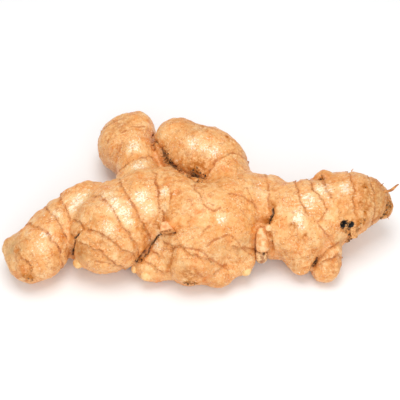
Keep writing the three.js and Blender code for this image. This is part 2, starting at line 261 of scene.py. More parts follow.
def swept(name: str, stations: Line, sides: int) -> bpy.types.Object:
    """Sweep a round section along a line with edit-mode extrudes, and close both of its ends.

    Args:
        name: The new object's name.
        stations: The line, as x, y, z and radius.
        sides: How many sides the section has.

    Returns:
        The new object.
    """
    deselect()
    places = [np.array(station[:3]) for station in stations]
    run = places[-1] - places[0]
    tilt = math.acos(run[2] / np.linalg.norm(run))
    turn = math.atan2(run[1], run[0])
    bpy.ops.mesh.primitive_circle_add(
        vertices=sides, radius=stations[0][3] * MM, fill_type="NGON",
        location=places[0] * MM, rotation=(0, tilt, turn),
    )  # fmt: skip
    piece = name_active(name)
    bpy.ops.object.mode_set(mode="EDIT")
    bpy.ops.mesh.select_all(action="SELECT")
    for before, after in pairwise(range(len(stations))):
        step = (places[after] - places[before]) * MM
        bpy.ops.mesh.extrude_region_move(TRANSFORM_OT_translate={"value": tuple(step)})
        grown = stations[after][3] / stations[before][3]
        bpy.ops.transform.resize(value=(grown,) * 3, center_override=tuple(places[after] * MM))
    bpy.ops.mesh.select_all(action="DESELECT")
    bpy.ops.mesh.select_non_manifold()
    bpy.ops.mesh.edge_face_add()
    bpy.ops.mesh.select_all(action="SELECT")
    bpy.ops.mesh.normals_make_consistent(inside=False)
    bpy.ops.object.mode_set(mode="OBJECT")
    deselect()
    piece.select_set(True)
    bpy.ops.object.transform_apply(location=True, rotation=True, scale=True)
    return piece


def rounded(piece: bpy.types.Object, levels: int) -> None:
    """Smooth a piece with an applied Subdivision Surface.

    Args:
        piece: The piece.
        levels: How many times it is divided.
    """
    deselect()
    bpy.context.view_layer.objects.active = piece
    piece.select_set(True)
    bpy.ops.object.modifier_add(type="SUBSURF")
    modifier = piece.modifiers[-1]
    modifier.levels = modifier.render_levels = levels
    bpy.ops.object.modifier_apply(modifier=modifier.name)
    piece.data.shade_smooth()


# ------------------------------------------------------------------ the limbs


@dataclass(frozen=True)
class Ring:
    """The scar of an old leaf, as a plane across a limb.

    distance is measured along the limb's line; aside and upward are the slopes of the plane.
    """

    distance: float
    aside: float = 0.0
    upward: float = 0.0


@dataclass
class Limb:
    """A round limb of changing girth along a curved line.

    blend is the breadth over which its skin flows into the limbs before it, at its root and near its end;
    sharp narrows the second.
    """

    name: str
    stations: Line
    rings: list[Ring] = field(default_factory=list)
    blend: tuple[float, float] = (4.0, 4.0)
    sharp: float = 1.0
    cuts: int = 24
    spacing: float = 2.0
    ring_reach: float = 1.6
    swell_height: float = 0.7
    swell_run: float = 12.0

    # The solid is centred on its box, and the stations are from before that.
    MIDDLE = (0.298, -0.322, 0.0)

    def __post_init__(self) -> None:
        """Work out the limb's line, its girth along it and the planes of its rings."""
        line = self.curve()
        travel = np.concatenate([[0], np.cumsum(np.linalg.norm(np.diff(line[:, :3], axis=0), axis=1))])
        self.length = float(travel[-1])
        steps = math.ceil(self.length / self.spacing)
        self.marks = np.linspace(0, self.length, steps + 1)
        self.links = np.stack([np.interp(self.marks, travel, line[:, k]) for k in range(4)], axis=1)
        self.planes = [self.plane(ring, travel, line) for ring in self.rings]

    def curve(self) -> np.ndarray:
        """Lay a smooth curve through the stations.

        Returns:
            Rows of x, y, z and radius, close together.
        """
        posts = np.array(self.stations, dtype=float)
        posts[:, :3] -= self.MIDDLE
        posts = np.vstack([2 * posts[0] - posts[1], posts, 2 * posts[-1] - posts[-2]])
        rows = []
        for at in range(1, len(posts) - 2):
            one, two, three, four = posts[at - 1 : at + 3]
            slope, bend = (three - one) / 2, one - 2.5 * two + 2 * three - four / 2
            twist = (four - one) / 2 + 1.5 * (two - three)
            for share in np.linspace(0, 1, self.cuts, endpoint=False):
                rows.append(two + share * (slope + share * (bend + share * twist)))
        rows.append(posts[-2])
        return np.array(rows)

    def plane(self, ring: Ring, travel: np.ndarray, line: np.ndarray) -> tuple[np.ndarray, np.ndarray, float]:
        """Lay the plane of a ring across the limb.

        Args:
            ring: The ring.
            travel: How far along the line each of its rows is.
            line: The rows of the line.

        Returns:
            The middle of the ring, its normal and how far it reaches.
        """
        at = min(max(ring.distance, 0), self.length)
        heading = unit(np.gradient(line[:, :3], axis=0))
        centre, along = (
            np.array([np.interp(at, travel, part[:, k]) for k in range(3)]) for part in (line, heading)
        )
        along = unit(along)
        side = unit(np.cross([0, 0, 1], along))
        normal = unit(along + ring.aside * side + ring.upward * np.cross(along, side))
        radius = np.interp(at, travel, line[:, 3])
        return centre + (ring.distance - at) * along, normal, self.ring_reach * radius

    def reaches(self, points: np.ndarray, room: float) -> np.ndarray:
        """Tell which points are near enough to matter.

        Args:
            points: The points, one a row.
            room: How far from the limb they may be.

        Returns:
            The numbers of those points.
        """
        margin = self.links[:, 3].max() + room
        low, high = self.links[:, :3].min(axis=0) - margin, self.links[:, :3].max(axis=0) + margin
        return np.flatnonzero(((points > low) & (points < high)).all(axis=1))

    def nearest(self, points: np.ndarray) -> tuple[np.ndarray, np.ndarray, np.ndarray]:
        """Measure points against the plain limb.

        Args:
            points: The points, one a row.

        Returns:
            How far each point is outside the limb, how far along its line it is, and its offset from it.
        """
        gap = np.full(len(points), np.inf)
        distance, away = np.zeros(len(points)), np.zeros((len(points), 3))
        last = len(self.links) - 2
        step = self.marks[1]
        for at in range(last + 1):
            start, end = self.links[at], self.links[at + 1]
            run = end[:3] - start[:3]
            reach = points - start[:3]
            share = reach @ run / (run @ run)
            if at > 0:
                share = np.maximum(share, 0)
            if at < last:
                share = np.minimum(share, 1)
            held = np.clip(share, 0, 1)
            out = reach - held[:, None] * run
            here = np.linalg.norm(out, axis=1) - (start[3] + held * (end[3] - start[3]))
            closer = here < gap
            gap[closer] = here[closer]
            distance[closer] = (at + share[closer]) * step
            away[closer] = out[closer]
        return gap, distance, away

    def swell(self, points: np.ndarray) -> np.ndarray:
        """Find how much the skin swells, as a barrel between two rings.

        Args:
            points: The points, one a row.

        Returns:
            A height for each point.
        """
        behind, ahead = np.full((2, len(points)), self.swell_run)
        for centre, normal, reach in self.planes:
            offset = (centre - points) @ normal
            near = np.linalg.norm(centre - points, axis=1) < reach
            behind = np.where(near & (offset <= 0), np.minimum(behind, -offset), behind)
            ahead = np.where(near & (offset > 0), np.minimum(ahead, offset), ahead)
        share = np.minimum(1, 2 * np.minimum(behind, ahead) / self.swell_run)
        return self.swell_height * np.sin(np.pi / 2 * share)


@dataclass
class Reading:
    """What the limbs say about some points. Each field holds a value for each point."""

    gap: np.ndarray  # how far outside the smooth skin
    facing: np.ndarray  # which way the smooth skin faces
    owner: np.ndarray  # the number of the outermost limb
    clear: np.ndarray  # how deep under it the next limb lies
    width: np.ndarray  # the breadth over which the two flow together
    distance: np.ndarray  # how far along the outermost limb
    away: np.ndarray  # the offset from its line


@dataclass
class Rhizome:
    """All the limbs, and the smooth skin round them."""

    limbs: list[Limb]
    lump_size: float = 12.0
    lump_height: float = 0.8
    dimple_size: float = 4.5
    dimple_height: float = 0.3
    dimple_offset: float = 50.0
    near: float = 12.0
    root_share: float = 0.8
    ringless: float = 40.0
    ring_fade: float = 1.5
    seam_fade: float = 1.2

    def __post_init__(self) -> None:
        """Draw the lumps."""
        self.lumps = Clouds(Seed.LUMPS)

    def read(self, points: np.ndarray) -> Reading:
        """Measure points against all the limbs.

        Args:
            points: The points, one a row.

        Returns:
            The reading of those points.
        """
        many = len(points)
        gap, first, second = np.full((3, many), FAR)
        facing, away = np.zeros((2, many, 3))
        distance, width, second_width = np.zeros((3, many))
        owner, second_owner = np.full((2, many), -1)
        for number, limb in enumerate(self.limbs):
            near = limb.reaches(points, self.near)
            part = points[near]
            own, along, offset = limb.nearest(part)
            own = own - limb.swell(part)
            share = smooth_step(along, 0, limb.length * self.root_share)
            breadth = limb.blend[0] + (limb.blend[1] * limb.sharp - limb.blend[0]) * share
            breadth = np.maximum(breadth, 0.01)
            was = gap[near]
            overlap = np.maximum(0, breadth - np.abs(own - was)) / breadth
            weight = np.where(own < was, 1 - overlap / 2, overlap / 2)[:, None]
            facing[near] = facing[near] * (1 - weight) + unit(offset) * weight
            gap[near] = np.minimum(own, was) - overlap**2 * breadth / 4
            leads = own < first[near]
            follows = ~leads & (own < second[near])
            for mine, its, value in (
                (second, first, own), (second_width, width, breadth), (second_owner, owner, number),
            ):  # fmt: skip
                mine[near] = np.where(leads, its[near], np.where(follows, value, mine[near]))
            for mine, value in ((first, own), (width, breadth), (owner, number), (distance, along)):
                mine[near] = np.where(leads, value, mine[near])
            away[near] = np.where(leads[:, None], offset, away[near])
        lumps = self.lump_height * self.lumps.at(points, self.lump_size)
        lumps += self.dimple_height * self.lumps.at(points + self.dimple_offset, self.dimple_size)
        width = np.where(owner > second_owner, width, second_width)
        return Reading(gap - lumps, unit(facing), owner, second - first, width, distance, away)

    def settle(self, points: np.ndarray, rounds: int) -> np.ndarray:
        """Move points onto the smooth skin.

        Args:
            points: The points, one a row.
            rounds: How many times they are moved.

        Returns:
            The moved points.
        """
        for _ in range(rounds):
            reading = self.read(points)
            points = points - np.clip(reading.gap, -1, 1)[:, None] * reading.facing
        return points

    def edges(self, points: np.ndarray, reading: Reading, ragged: np.ndarray) -> tuple[np.ndarray, ...]:
        """Measure points against the rings of their own limb.

        Args:
            points: The points, one a row.
            reading: The reading of those points.
            ragged: How far the edge of a ring wanders at each point.

        Returns:
            How far each point is beyond the edge of its nearest ring, that ring's normal, and how full the
            ring is there, from 0 to 1.
        """
        beyond = np.full(len(points), self.ringless)
        normals, fullness = np.zeros((len(points), 3)), np.zeros(len(points))
        for number, limb in enumerate(self.limbs):
            mine = np.flatnonzero(reading.owner == number)
            for centre, normal, reach in limb.planes:
                offset = (points[mine] - centre) @ normal + ragged[mine]
                room = reach - np.linalg.norm(points[mine] - centre, axis=1)
                clear = np.clip(reading.clear[mine] / self.seam_fade, 0, 1)
                full = np.clip(room / self.ring_fade, 0, 1) * clear
                closer = (np.abs(offset) < np.abs(beyond[mine])) & (room > 0)
                chosen = mine[closer]
                beyond[chosen], normals[chosen], fullness[chosen] = offset[closer], normal, full[closer]
        return beyond, normals, fullness


def ginger_limbs() -> list[Limb]:
    """List the limbs, each after the one that it grows from.

    Returns:
        The limbs.
    """
    return [
        Limb(
            "stock",
            [
                (-36.5, -11.5, 16, 9), (-26.5, -12, 18, 14), (-12.5, -13.5, 20, 17), (1.5, -19.5, 20, 16.5),
                (14.5, -14, 20, 15), (24, -6.5, 20, 10), (32, -4.5, 19, 9),
            ],
            [Ring(20, 0.3, 0), Ring(42, 0.15, 0.2), Ring(72.5, -0.15, 0.1)],
            (0, 0),
        ),
        Limb(
            "right stock",
            [
                (28.5, -6, 18, 8.5), (38, -15, 19, 13.5), (48, -14.5, 19, 14.3), (58.5, -11.3, 19.5, 13.1),
                (66, -9, 20, 13.3), (72, -8.5, 19.5, 12.7), (78.5, -7.5, 18.8, 8.4), (83.5, -10, 17, 5),
            ],
            [
                Ring(25.5, 0, 0.4), Ring(31, 0.05, 0.25), Ring(38, 0.1, 0.35), Ring(45, 0, 0.15),
                Ring(53, 0, 0),
            ],
            (4, 4),
        ),
        Limb(
            "left thumb",
            [
                (-42, -11.5, 16, 9), (-51.5, -8, 17, 9.6), (-60.5, -14.3, 15.5, 9.4), (-65.5, -22, 14, 11.3),
                (-71, -31.3, 13, 11.7), (-74, -32.3, 12, 10.6),
            ],
            [Ring(20.5, -0.35, 0), Ring(29.5, -0.55, 0.1), Ring(40, -0.15, 0.15), Ring(48, 0.2, -0.2)],
            (5, 3.5),
        ),
        Limb("corner of the left thumb", [(-76, -32, 13.5, 8), (-82.3, -31.5, 14, 5.6)], [], (5, 5)),
        Limb("foot of the left thumb", [(-72, -35.5, 9.5, 7.5), (-76.5, -38, 9, 6.3)], [], (5, 5)),
        Limb(
            "left finger",
            [(-18.5, -8, 19, 12.5), (-28, -14.5, 18, 16), (-38.5, -24, 17, 17), (-42, -27, 16, 15.5)],
            [Ring(13, -0.25, -0.1), Ring(25, -0.05, 0), Ring(31, 0.2, -0.25), Ring(38, 0.2, -0.3)],
            (8, 4),
            0.9,
        ),
        Limb("shoulder of the left finger", [(-38, -14, 18, 12), (-46, -21, 15, 10.2)], [], (8, 8)),
        Limb("skin between the left thumb and finger", [(-53, -17, 10, 6), (-56, -25, 8.5, 6)], [], (3, 3)),
        Limb(
            "front left branch",
            [(-14.5, -25, 14, 7), (-17.8, -30, 11, 8), (-20.5, -35, 8, 8)],
            [Ring(6.5, -0.5, -0.15), Ring(13, -0.35, -0.2)],
            (4, 2),
        ),
        Limb(
            "front branch",
            [(-1, -23.5, 19, 15.5), (-2, -31, 16, 13.8), (-3.5, -35.5, 11.5, 11.2)],
            [Ring(14, -0.1, 0.4)],
            (8, 7),
        ),
        Limb("front branch tip", [(1, -34.5, 13, 9), (8, -39.6, 8.2, 6.9)], [Ring(8, -0.2, -0.3)], (4.5, 3)),
        Limb(
            "front right branch",
            [(11, -21.5, 17, 12.8), (15, -28, 14, 9.8), (18, -34, 10, 6.8)],
            [Ring(12, -0.4, 0)],
            (7, 4.5),
        ),
        Limb(
            "back left finger",
            [
                (-26.5, -3.5, 18, 9.5), (-28, 6, 18, 10), (-29.5, 18, 17, 10), (-34.5, 29.8, 14.5, 13.6),
                (-36, 33, 13.5, 13),
            ],
            [Ring(5, 0, 0.4), Ring(17.5, 0.3, 0.5), Ring(42, 0, 0.2)],
            (4.5, 3.5),
        ),
        Limb("corner of the back left finger", [(-33, 32, 17, 9.5), (-30, 38.5, 20, 6.3)], [], (6, 6)),
        Limb(
            "back right finger",
            [
                (14.5, -5, 19, 10), (11, 5, 21, 12.8), (5, 13, 21.5, 16.1), (-3, 17, 22, 14.8),
                (-9.5, 23.5, 24.5, 11.2),
            ],
            [Ring(8, 0.25, -0.4)],
            (6, 2.5),
            0.3,
        ),
        Limb(
            "skin between the back fingers",
            [(4, 3, 10.5, 8.2), (-12, 5, 12, 9.6), (-20.5, 18, 14.2, 9)],
            [],
            (3, 3),
        ),
        Limb(
            "right front branch",
            [(40.5, -21.5, 17, 12.5), (42, -26.5, 13, 8.8), (45.2, -36.6, 8, 3.3)],
            [],
            (6, 3.5),
        ),
        Limb("fold below the cleft", [(38, -20, 14, 9), (35, -26, 11, 7)], [], (5, 3)),
        Limb("right front fold", [(48, -23, 16, 11), (49, -30, 10, 7.5)], [], (8, 6)),
        Limb(
            "right nub",
            [(56.8, -29.5, 11.5, 6.6), (57.3, -33, 9.4, 6.8), (56.8, -36.2, 7, 6.5)],
            [Ring(2.6, 0.6, 0.1), Ring(6.4, 0.65, 0)],
            (2.5, 1.5),
        ),
        Limb("root scar", [(54.3, -4, 27.6, 2.5), (56.6, -3, 29.2, 3), (58.8, -3, 29, 2.5)], [], (2.5, 2.5)),
        Limb("right lower bud", [(60, -15, 18, 12), (63, -17.5, 15, 9), (65.5, -17.5, 14, 6.8)], [], (7, 6)),
    ]  # fmt: skip


# ------------------------------------------------------------------ scars, marks, stains, painted shade and highlights


class Stain(Enum):
    """What colours a patch of skin. The value is the name of its attribute."""

    # soil: dark earth, and in two patches under the front branch a painted shadow
    SOIL_AND_SHADOW = "soil"  # dark earth
    # rust: brown, dried skin, and in one patch under the front branch painted shade
    RUST_AND_SHADE = "rust"  # brown, dried skin
    GREY = "grey"  # weathered, greyish skin
    # pale: thin, cream-coloured skin, with a painted highlight laid on it where light falls brightest
    PALE_AND_HIGHLIGHT = "pale"  # thin, cream-coloured skin
    # hole: black painted shade inside the deep pits of the two holes
    HOLE_SHADE = "hole_shade"  # black, open to the inside


@dataclass(frozen=True)
class Patch:
    """A patch of colour about a place on the skin."""

    place: Point
    radius: float
    strength: float = 1.0

    def share(self, away: np.ndarray) -> np.ndarray:
        """Find how strong the patch is at some distances from its middle."""
        return self.strength * np.exp(-((away / self.radius) ** 2))


@dataclass(frozen=True)
class Scar:
    """A round pit with a raised rim, such as a root leaves."""

    place: Point
    radius: float
    depth: float
    rim: float

    # The widths of the pit and the rim, as shares of the radius.
    PIT_WIDTH = 0.75
    RIM_WIDTH = 0.35

    def height(self, away: np.ndarray) -> np.ndarray:
        """Find the scar's height.

        Args:
            away: How far each point is from its middle.

        Returns:
            A height for each point.
        """
        off = away / self.radius
        pit = self.depth * np.exp(-((off / self.PIT_WIDTH) ** 2))
        return self.rim * np.exp(-(((off - 1) / self.RIM_WIDTH) ** 2)) - pit


@dataclass(frozen=True)
class Groove:
    """A crease or a crack along a line on the skin; soil is how much earth lies in it."""

    places: list[Point]
    width: float
    depth: float
    soil: float = 0.0

    # The breadths of the earth and of the rust round it, as shares of the width.
    EARTH_WIDTH = 0.7
    RUST_WIDTH = 1.5
    MOST_RUST = 0.9

    def height(self, away: np.ndarray) -> np.ndarray:
        """Find the groove's height at some distances from its line."""
        return -self.depth * np.exp(-((away / self.width) ** 2))

    def earth(self, away: np.ndarray) -> np.ndarray:
        """Find how much earth lies at some distances from its line."""
        return self.soil * np.exp(-((away / self.width / self.EARTH_WIDTH) ** 2))

    def rust(self, away: np.ndarray) -> np.ndarray:
        """Find how brown the skin is at some distances from its line."""
        return self.MOST_RUST * min(1, self.depth) * np.exp(-((away / self.width / self.RUST_WIDTH) ** 2))


@dataclass(frozen=True)
class Flat:
    """A place where the skin is flattened; aim is the way that the flat faces."""

    place: Point
    aim: Point
    depth: float
    reach: float


PATCHES = {
    Stain.SOIL_AND_SHADOW: [
        Patch((-77.3, -45, 12.4), 2.2, 0.6),
        Patch((-74.7, -45.5, 10.7), 2.2, 0.7),
        Patch((-56.5, -33.5, 16), 2.4, 0.6),
        Patch((-26.7, -37.2, 13.7), 2.1, 0.75),
        Patch((-23.6, -34.8, 15.6), 1.7, 0.55),
        Patch((-17.2, -31.8, 25.6), 1.6, 0.6),
        Patch((-16.2, 11.9, 29.1), 3.2, 0.9),
        Patch((-16, 11, 28), 2.8, 0.9),
        Patch((-13.8, 7.6, 28.3), 3, 0.8),
        Patch((-12.5, 8, 29.5), 2.4, 0.45),
        Patch((-9.5, -1, 32), 3, 0.8),
        # A painted shadow under the bottom of the front branch, not earth.
        Patch((-5.6, -46.6, 9.6), 3, 0.75),
        Patch((-5, -4.5, 33), 3, 0.6),
        # A painted shadow under the bottom of the front branch, not earth.
        Patch((-3.5, -46.5, 9.5), 3.2, 0.8),
        Patch((-1.8, 0.5, 30), 3.6, 0.7),
        Patch((0, -7.5, 33.5), 2.4, 0.6),
        Patch((1.4, -1.6, 29), 2.6, 0.6),
        Patch((29.9, -26.1, 28.9), 2.1, 0.85),
        Patch((31.4, -22.1, 31), 1.5, 0.6),
        Patch((54.5, -4.5, 33), 1.6, 0.8),
        Patch((65.6, -25.5, 22.6), 3.6, 0.9),
        Patch((67.2, -26, 13.8), 3.6, 0.75),
        Patch((69.2, -24.7, 18), 3.2),
        Patch((72.4, -22.2, 22.6), 2.8, 0.65),
        Patch((74, -20.3, 26.8), 1.1, 0.6),
        Patch((74.3, -10, 32.2), 1.1, 0.6),
        Patch((82.7, -16, 17.9), 2.4, 0.7),
        Patch((84.6, -15, 18.5), 3.2, 0.75),
        Patch((86.3, -11.9, 21.5), 2.8, 0.9),
    ],
    Stain.RUST_AND_SHADE: [
        Patch((-80.1, -36.8, 21.2), 2.4, 0.9),
        Patch((-76, -45.3, 11.6), 4, 0.9),
        Patch((-63, -40.3, 12.6), 4, 0.5),
        Patch((-54, -31, 23), 3.4, 0.7),
        Patch((-53.2, -37.6, 20.4), 3.6, 1.1),
        Patch((-43.5, -38.1, 27.1), 1, 0.8),
        Patch((-42.4, 26.4, 25.5), 2.8, 0.6),
        Patch((-40, -39.7, 25.7), 0.9, 0.8),
        Patch((-37.6, 20, 25.8), 2.4, 0.8),
        Patch((-37, 27.5, 28.6), 2.2, 0.6),
        Patch((-36, 34, 26), 8, 0.55),
        Patch((-35, -41.1, 20.3), 1.1, 0.8),
        Patch((-34.5, 20.7, 27), 2, 0.5),
        Patch((-23.3, -29.3, 27.3), 3.6, 0.85),
        Patch((-18, -29.6, 28.3), 3.6, 1.1),
        Patch((-17.5, 15.7, 30), 2.6, 0.8),
        Patch((-15.2, -27, 31), 3, 0.9),
        Patch((-11.8, 9, 31), 5, 0.6),
        Patch((-11.2, -5, 35.6), 3.2, 0.55),
        Patch((-9.6, -20.3, 37.4), 4, 0.35),
        Patch((-6.4, 6, 33.5), 5, 0.55),
        Patch((-5.1, 26.9, 35.4), 6, 0.6),
        Patch((-4.8, -27.9, 36.6), 4, 0.4),
        Patch((-4.4, -11.3, 36.7), 3, 0.3),
        # Painted shade on the underside of the front branch, not dried skin.
        Patch((-4.3, -46.5, 14.8), 4.6),
        Patch((-3.6, 1, 31.5), 5.5),
        Patch((-1, 2, 32.5), 5.5, 1.3),
        Patch((1.4, 22.8, 36.4), 6.5, 0.65),
        Patch((1.8, -14.2, 37.4), 3.2, 0.5),
        Patch((5.4, -6.3, 32.4), 1.3, 0.8),
        Patch((8, -10.1, 35.3), 1.3, 0.7),
        Patch((8.4, -46.7, 7.9), 3, 0.5),
        Patch((8.9, -13.3, 36.4), 1.2, 0.7),
        Patch((10.8, -6.9, 34.4), 1.1, 0.8),
        Patch((13.2, 17, 35.5), 1.9, 1.3),
        Patch((15.2, 15.6, 34.6), 4, 0.5),
        Patch((18.4, -6.3, 33.8), 1.5, 0.7),
        Patch((18.4, 10.7, 31.7), 4.5, 0.6),
        Patch((18.6, 1.4, 31.8), 4, 0.6),
        Patch((27.1, -21.8, 27.8), 3, 0.7),
        Patch((27.9, -25.8, 25.7), 3.4, 1.2),
        Patch((29.5, -25, 29.5), 4.4, 0.7),
        Patch((31.6, -20.4, 31.8), 2.6, 1.1),
        Patch((40.4, -29.6, 28.4), 1.8, 1.2),
        Patch((42.5, -38.5, 12.5), 3.5, 0.6),
        Patch((45.8, -32.2, 24.6), 2.1, 1.2),
        Patch((55.5, -4.5, 33), 2.8, 0.5),
        Patch((61.1, -39.8, 10.4), 4, 0.6),
        Patch((70.5, -23, 21), 3.8, 1.2),
        Patch((71.6, -18, 30.2), 1.8, 1.3),
        Patch((73.9, -9.9, 32.4), 2.2, 1.5),
        Patch((74, -20.3, 26.8), 2.1, 1.5),
        Patch((75, -14, 31), 10, 0.75),
        Patch((79, -18.5, 20.5), 7),
        Patch((80, -6, 29), 8, 0.75),
        Patch((84.8, -12, 22), 6),
    ],
    Stain.GREY: [
        Patch((-84, -35.2, 19.7), 6.5, 0.9),
        Patch((-80.1, -36.8, 21.2), 4, 0.8),
        Patch((-53, -38, 20.4), 4.6, 0.9),
        Patch((9.6, -38.7, 22.9), 5, 0.4),
        Patch((19.5, -34.5, 20), 5, 0.75),
        Patch((62.6, -29.8, 17.5), 3.2),
        Patch((81, -12.5, 26), 9, 0.8),
    ],
    # Thin pale skin with painted highlights on it: these patches sit where light falls brightest.
    Stain.PALE_AND_HIGHLIGHT: [
        Patch((-69.7, -37.3, 23.3), 3, 0.7),
        Patch((-67.4, -31.4, 25), 2.8, 0.9),
        Patch((-65.2, -33.6, 23.5), 2.6, 0.7),
        Patch((-64.3, -20.5, 25.6), 3.4, 0.75),
        Patch((-56.7, -16.7, 23.8), 3.2, 0.9),
        Patch((-54.1, -13.4, 25.5), 4.4),
        Patch((-51.5, -11.1, 26.2), 3.4, 0.8),
        Patch((-41, -17.5, 31.5), 4.2, 0.8),
        Patch((-40, -33.6, 31.2), 3.6, 0.85),
        Patch((-37.3, -22.8, 34.6), 4.2, 1.1),
        Patch((-34.1, -26.4, 33.5), 3.8, 1.1),
        Patch((-31.5, -29.7, 31.3), 2.6, 0.9),
        Patch((-31.2, -22, 34.3), 2.4, 0.85),
        Patch((-30.9, 18.5, 27.3), 4.2, 0.9),
        Patch((-28, 5.3, 29.5), 4.2, 0.95),
        Patch((-25.6, -18.5, 35.6), 4, 1.05),
        Patch((-22.9, -23.4, 33.2), 3.6, 0.9),
        Patch((-21.3, -31.5, 19.4), 2.4, 0.7),
        Patch((-18.6, -33.4, 18.9), 3.4, 0.9),
        Patch((-18.5, -33.5, 25.5), 2.2, 0.9),
        Patch((-15.9, -17.6, 36.6), 2.6, 1.05),
        Patch((-15.8, -23.8, 33.8), 2.6, 0.8),
        Patch((-3.7, 11.5, 37.6), 3.2, 0.95),
        Patch((2, 8.2, 37.2), 3.6, 0.7),
        Patch((5.9, 6.8, 36.7), 3.6, 0.9),
        Patch((9.4, -29.8, 33.5), 2.8, 0.85),
        Patch((26.6, -12.7, 31.2), 4, 0.6),
        Patch((43.2, -27, 31), 4, 1.05),
        Patch((44.6, -29.7, 28.7), 2.8, 0.9),
        Patch((48, -18.8, 33.2), 4, 0.95),
        Patch((54.8, -13, 33.4), 4.2, 1.1),
        Patch((64.6, -12, 33.4), 3, 1.1),
    ],
    # Black painted shade inside the two deep holes.
    Stain.HOLE_SHADE: [
        Patch((64, -25.6, 24.1), 2.3),
        Patch((67.4, -24.2, 22.7), 2),
    ],
}

SCARS = [
    Scar((-80.1, -36.8, 21.2), 2.2, 0.5, 0.45),
    Scar((-77.2, -44.2, 14.6), 1.8, 0.7, 0.4),
    Scar((-74.5, -45, 12.6), 1.3, 0.6, 0.4),
    Scar((-80, -42.5, 15), 1.2, 0.5, 0.3),
    Scar((45.8, -32.2, 24.6), 1.7, 0.7, 0.4),
    Scar((40.4, -29.6, 28.4), 1.4, 0.6, 0.35),
    Scar((73.9, -9.9, 32.4), 1.4, 0.8, 0.5),
    Scar((71.6, -18, 30.2), 1.2, 0.6, 0.4),
    Scar((74, -20.3, 26.8), 1.4, 0.8, 0.5),
    Scar((64, -25.6, 24.1), 1.8, 3.0, 0.3),
    Scar((67.4, -24.2, 22.7), 1.4, 2.4, 0.3),
    Scar((54.5, -4.5, 33), 1.5, 1.0, 0.4),
    Scar((13.2, 17, 35.5), 1.3, 0.8, 0.3),
    Scar((18.4, -6.3, 33.8), 1.0, 0.4, 0.3),
    Scar((-23.3, -29.3, 27.3), 2.4, 0.35, 0.3),
    Scar((69, -26, 18), 1.6, 0.8, 0.5),
]

GROOVES = [
    Groove(
        [(31.2, -21.5, 31.2), (30.6, -24.3, 30.2), (29.6, -26.1, 28.9), (28.3, -27.1, 27.4)],
        1.4, 3.0, 1.0,
    ),
    Groove([(28.3, -27.1, 27.4), (27.4, -27.9, 25.5)], 1.0, 1.4, 0.8),
    Groove([(24.6, -19, 30.8), (26.6, -22.4, 28.6), (27.9, -26.9, 26.4)], 0.9, 0.5, 0.3),
    Groove([(30, -29.4, 24.2), (30.9, -31, 22.2), (31.1, -33.2, 18.6), (31.2, -33.3, 15.8)], 1.0, 1.0, 0.5),
    Groove([(-16.4, -31.9, 27), (-18.5, -31.8, 24.1), (-20.9, -31.7, 19)], 0.7, 0.8, 0.85),
    Groove(
        [(-20.9, -31.7, 19), (-22.7, -33.7, 16.4), (-24.5, -35.8, 14.8), (-26.7, -38, 13.2)],
        0.8, 0.8, 0.75,
    ),
    # The crease just under the leaf wedge: dark with soil, and with painted shade from the wedge.
    Groove([(-15.6, -32.2, 27.4), (-11, -33.4, 28.8)], 1.0, 1.5, 0.9),
    Groove([(-52.2, -30.4, 27.9), (-54.1, -31.7, 26)], 1.0, 0.8, 0.4),
    Groove(
        [(-54.1, -31.7, 26), (-55.4, -32.2, 23.2), (-56.3, -34.2, 19.3), (-57.8, -32.9, 10.1)],
        1.1, 1.2, 0.95,
    ),
    Groove([(-21.6, 32.8, 21.1), (-20.1, 19.5, 29), (-18.6, 15.7, 27.7)], 1.0, 1.2, 0.8),
    Groove([(-18.6, 15.7, 27.7), (-15.7, 9.6, 27.5), (-12.9, 6.1, 27.3), (-8.1, -2.6, 32)], 1.4, 1.6, 1.0),
    Groove([(-8.1, -2.6, 32), (-3.6, -7.4, 34), (1.8, -9.5, 35)], 1.0, 1.2, 0.9),
    Groove([(1.8, -9.5, 35), (6.3, -7.1, 33.3), (9.5, -5, 33)], 0.9, 0.5, 0.25),
    Groove([(50.3, -38.7, 9.2), (51.7, -37.8, 11.7), (52.6, -36.8, 13.2)], 0.8, 0.5, 0.85),
    Groove([(52.6, -36.8, 13.2), (56.4, -36, 15.6), (59.6, -34.7, 16.2)], 0.8, 0.6, 0.3),
    Groove([(34.6, -33.6, 19.2), (37.4, -35.2, 15.4), (40.5, -37.5, 12.6)], 0.9, 0.5, 0.1),
    Groove([(-12.7, -37.7, 23), (-13.2, -41, 18.8), (-13.6, -42.9, 10.9)], 1.1, 1.0, 0.4),
]

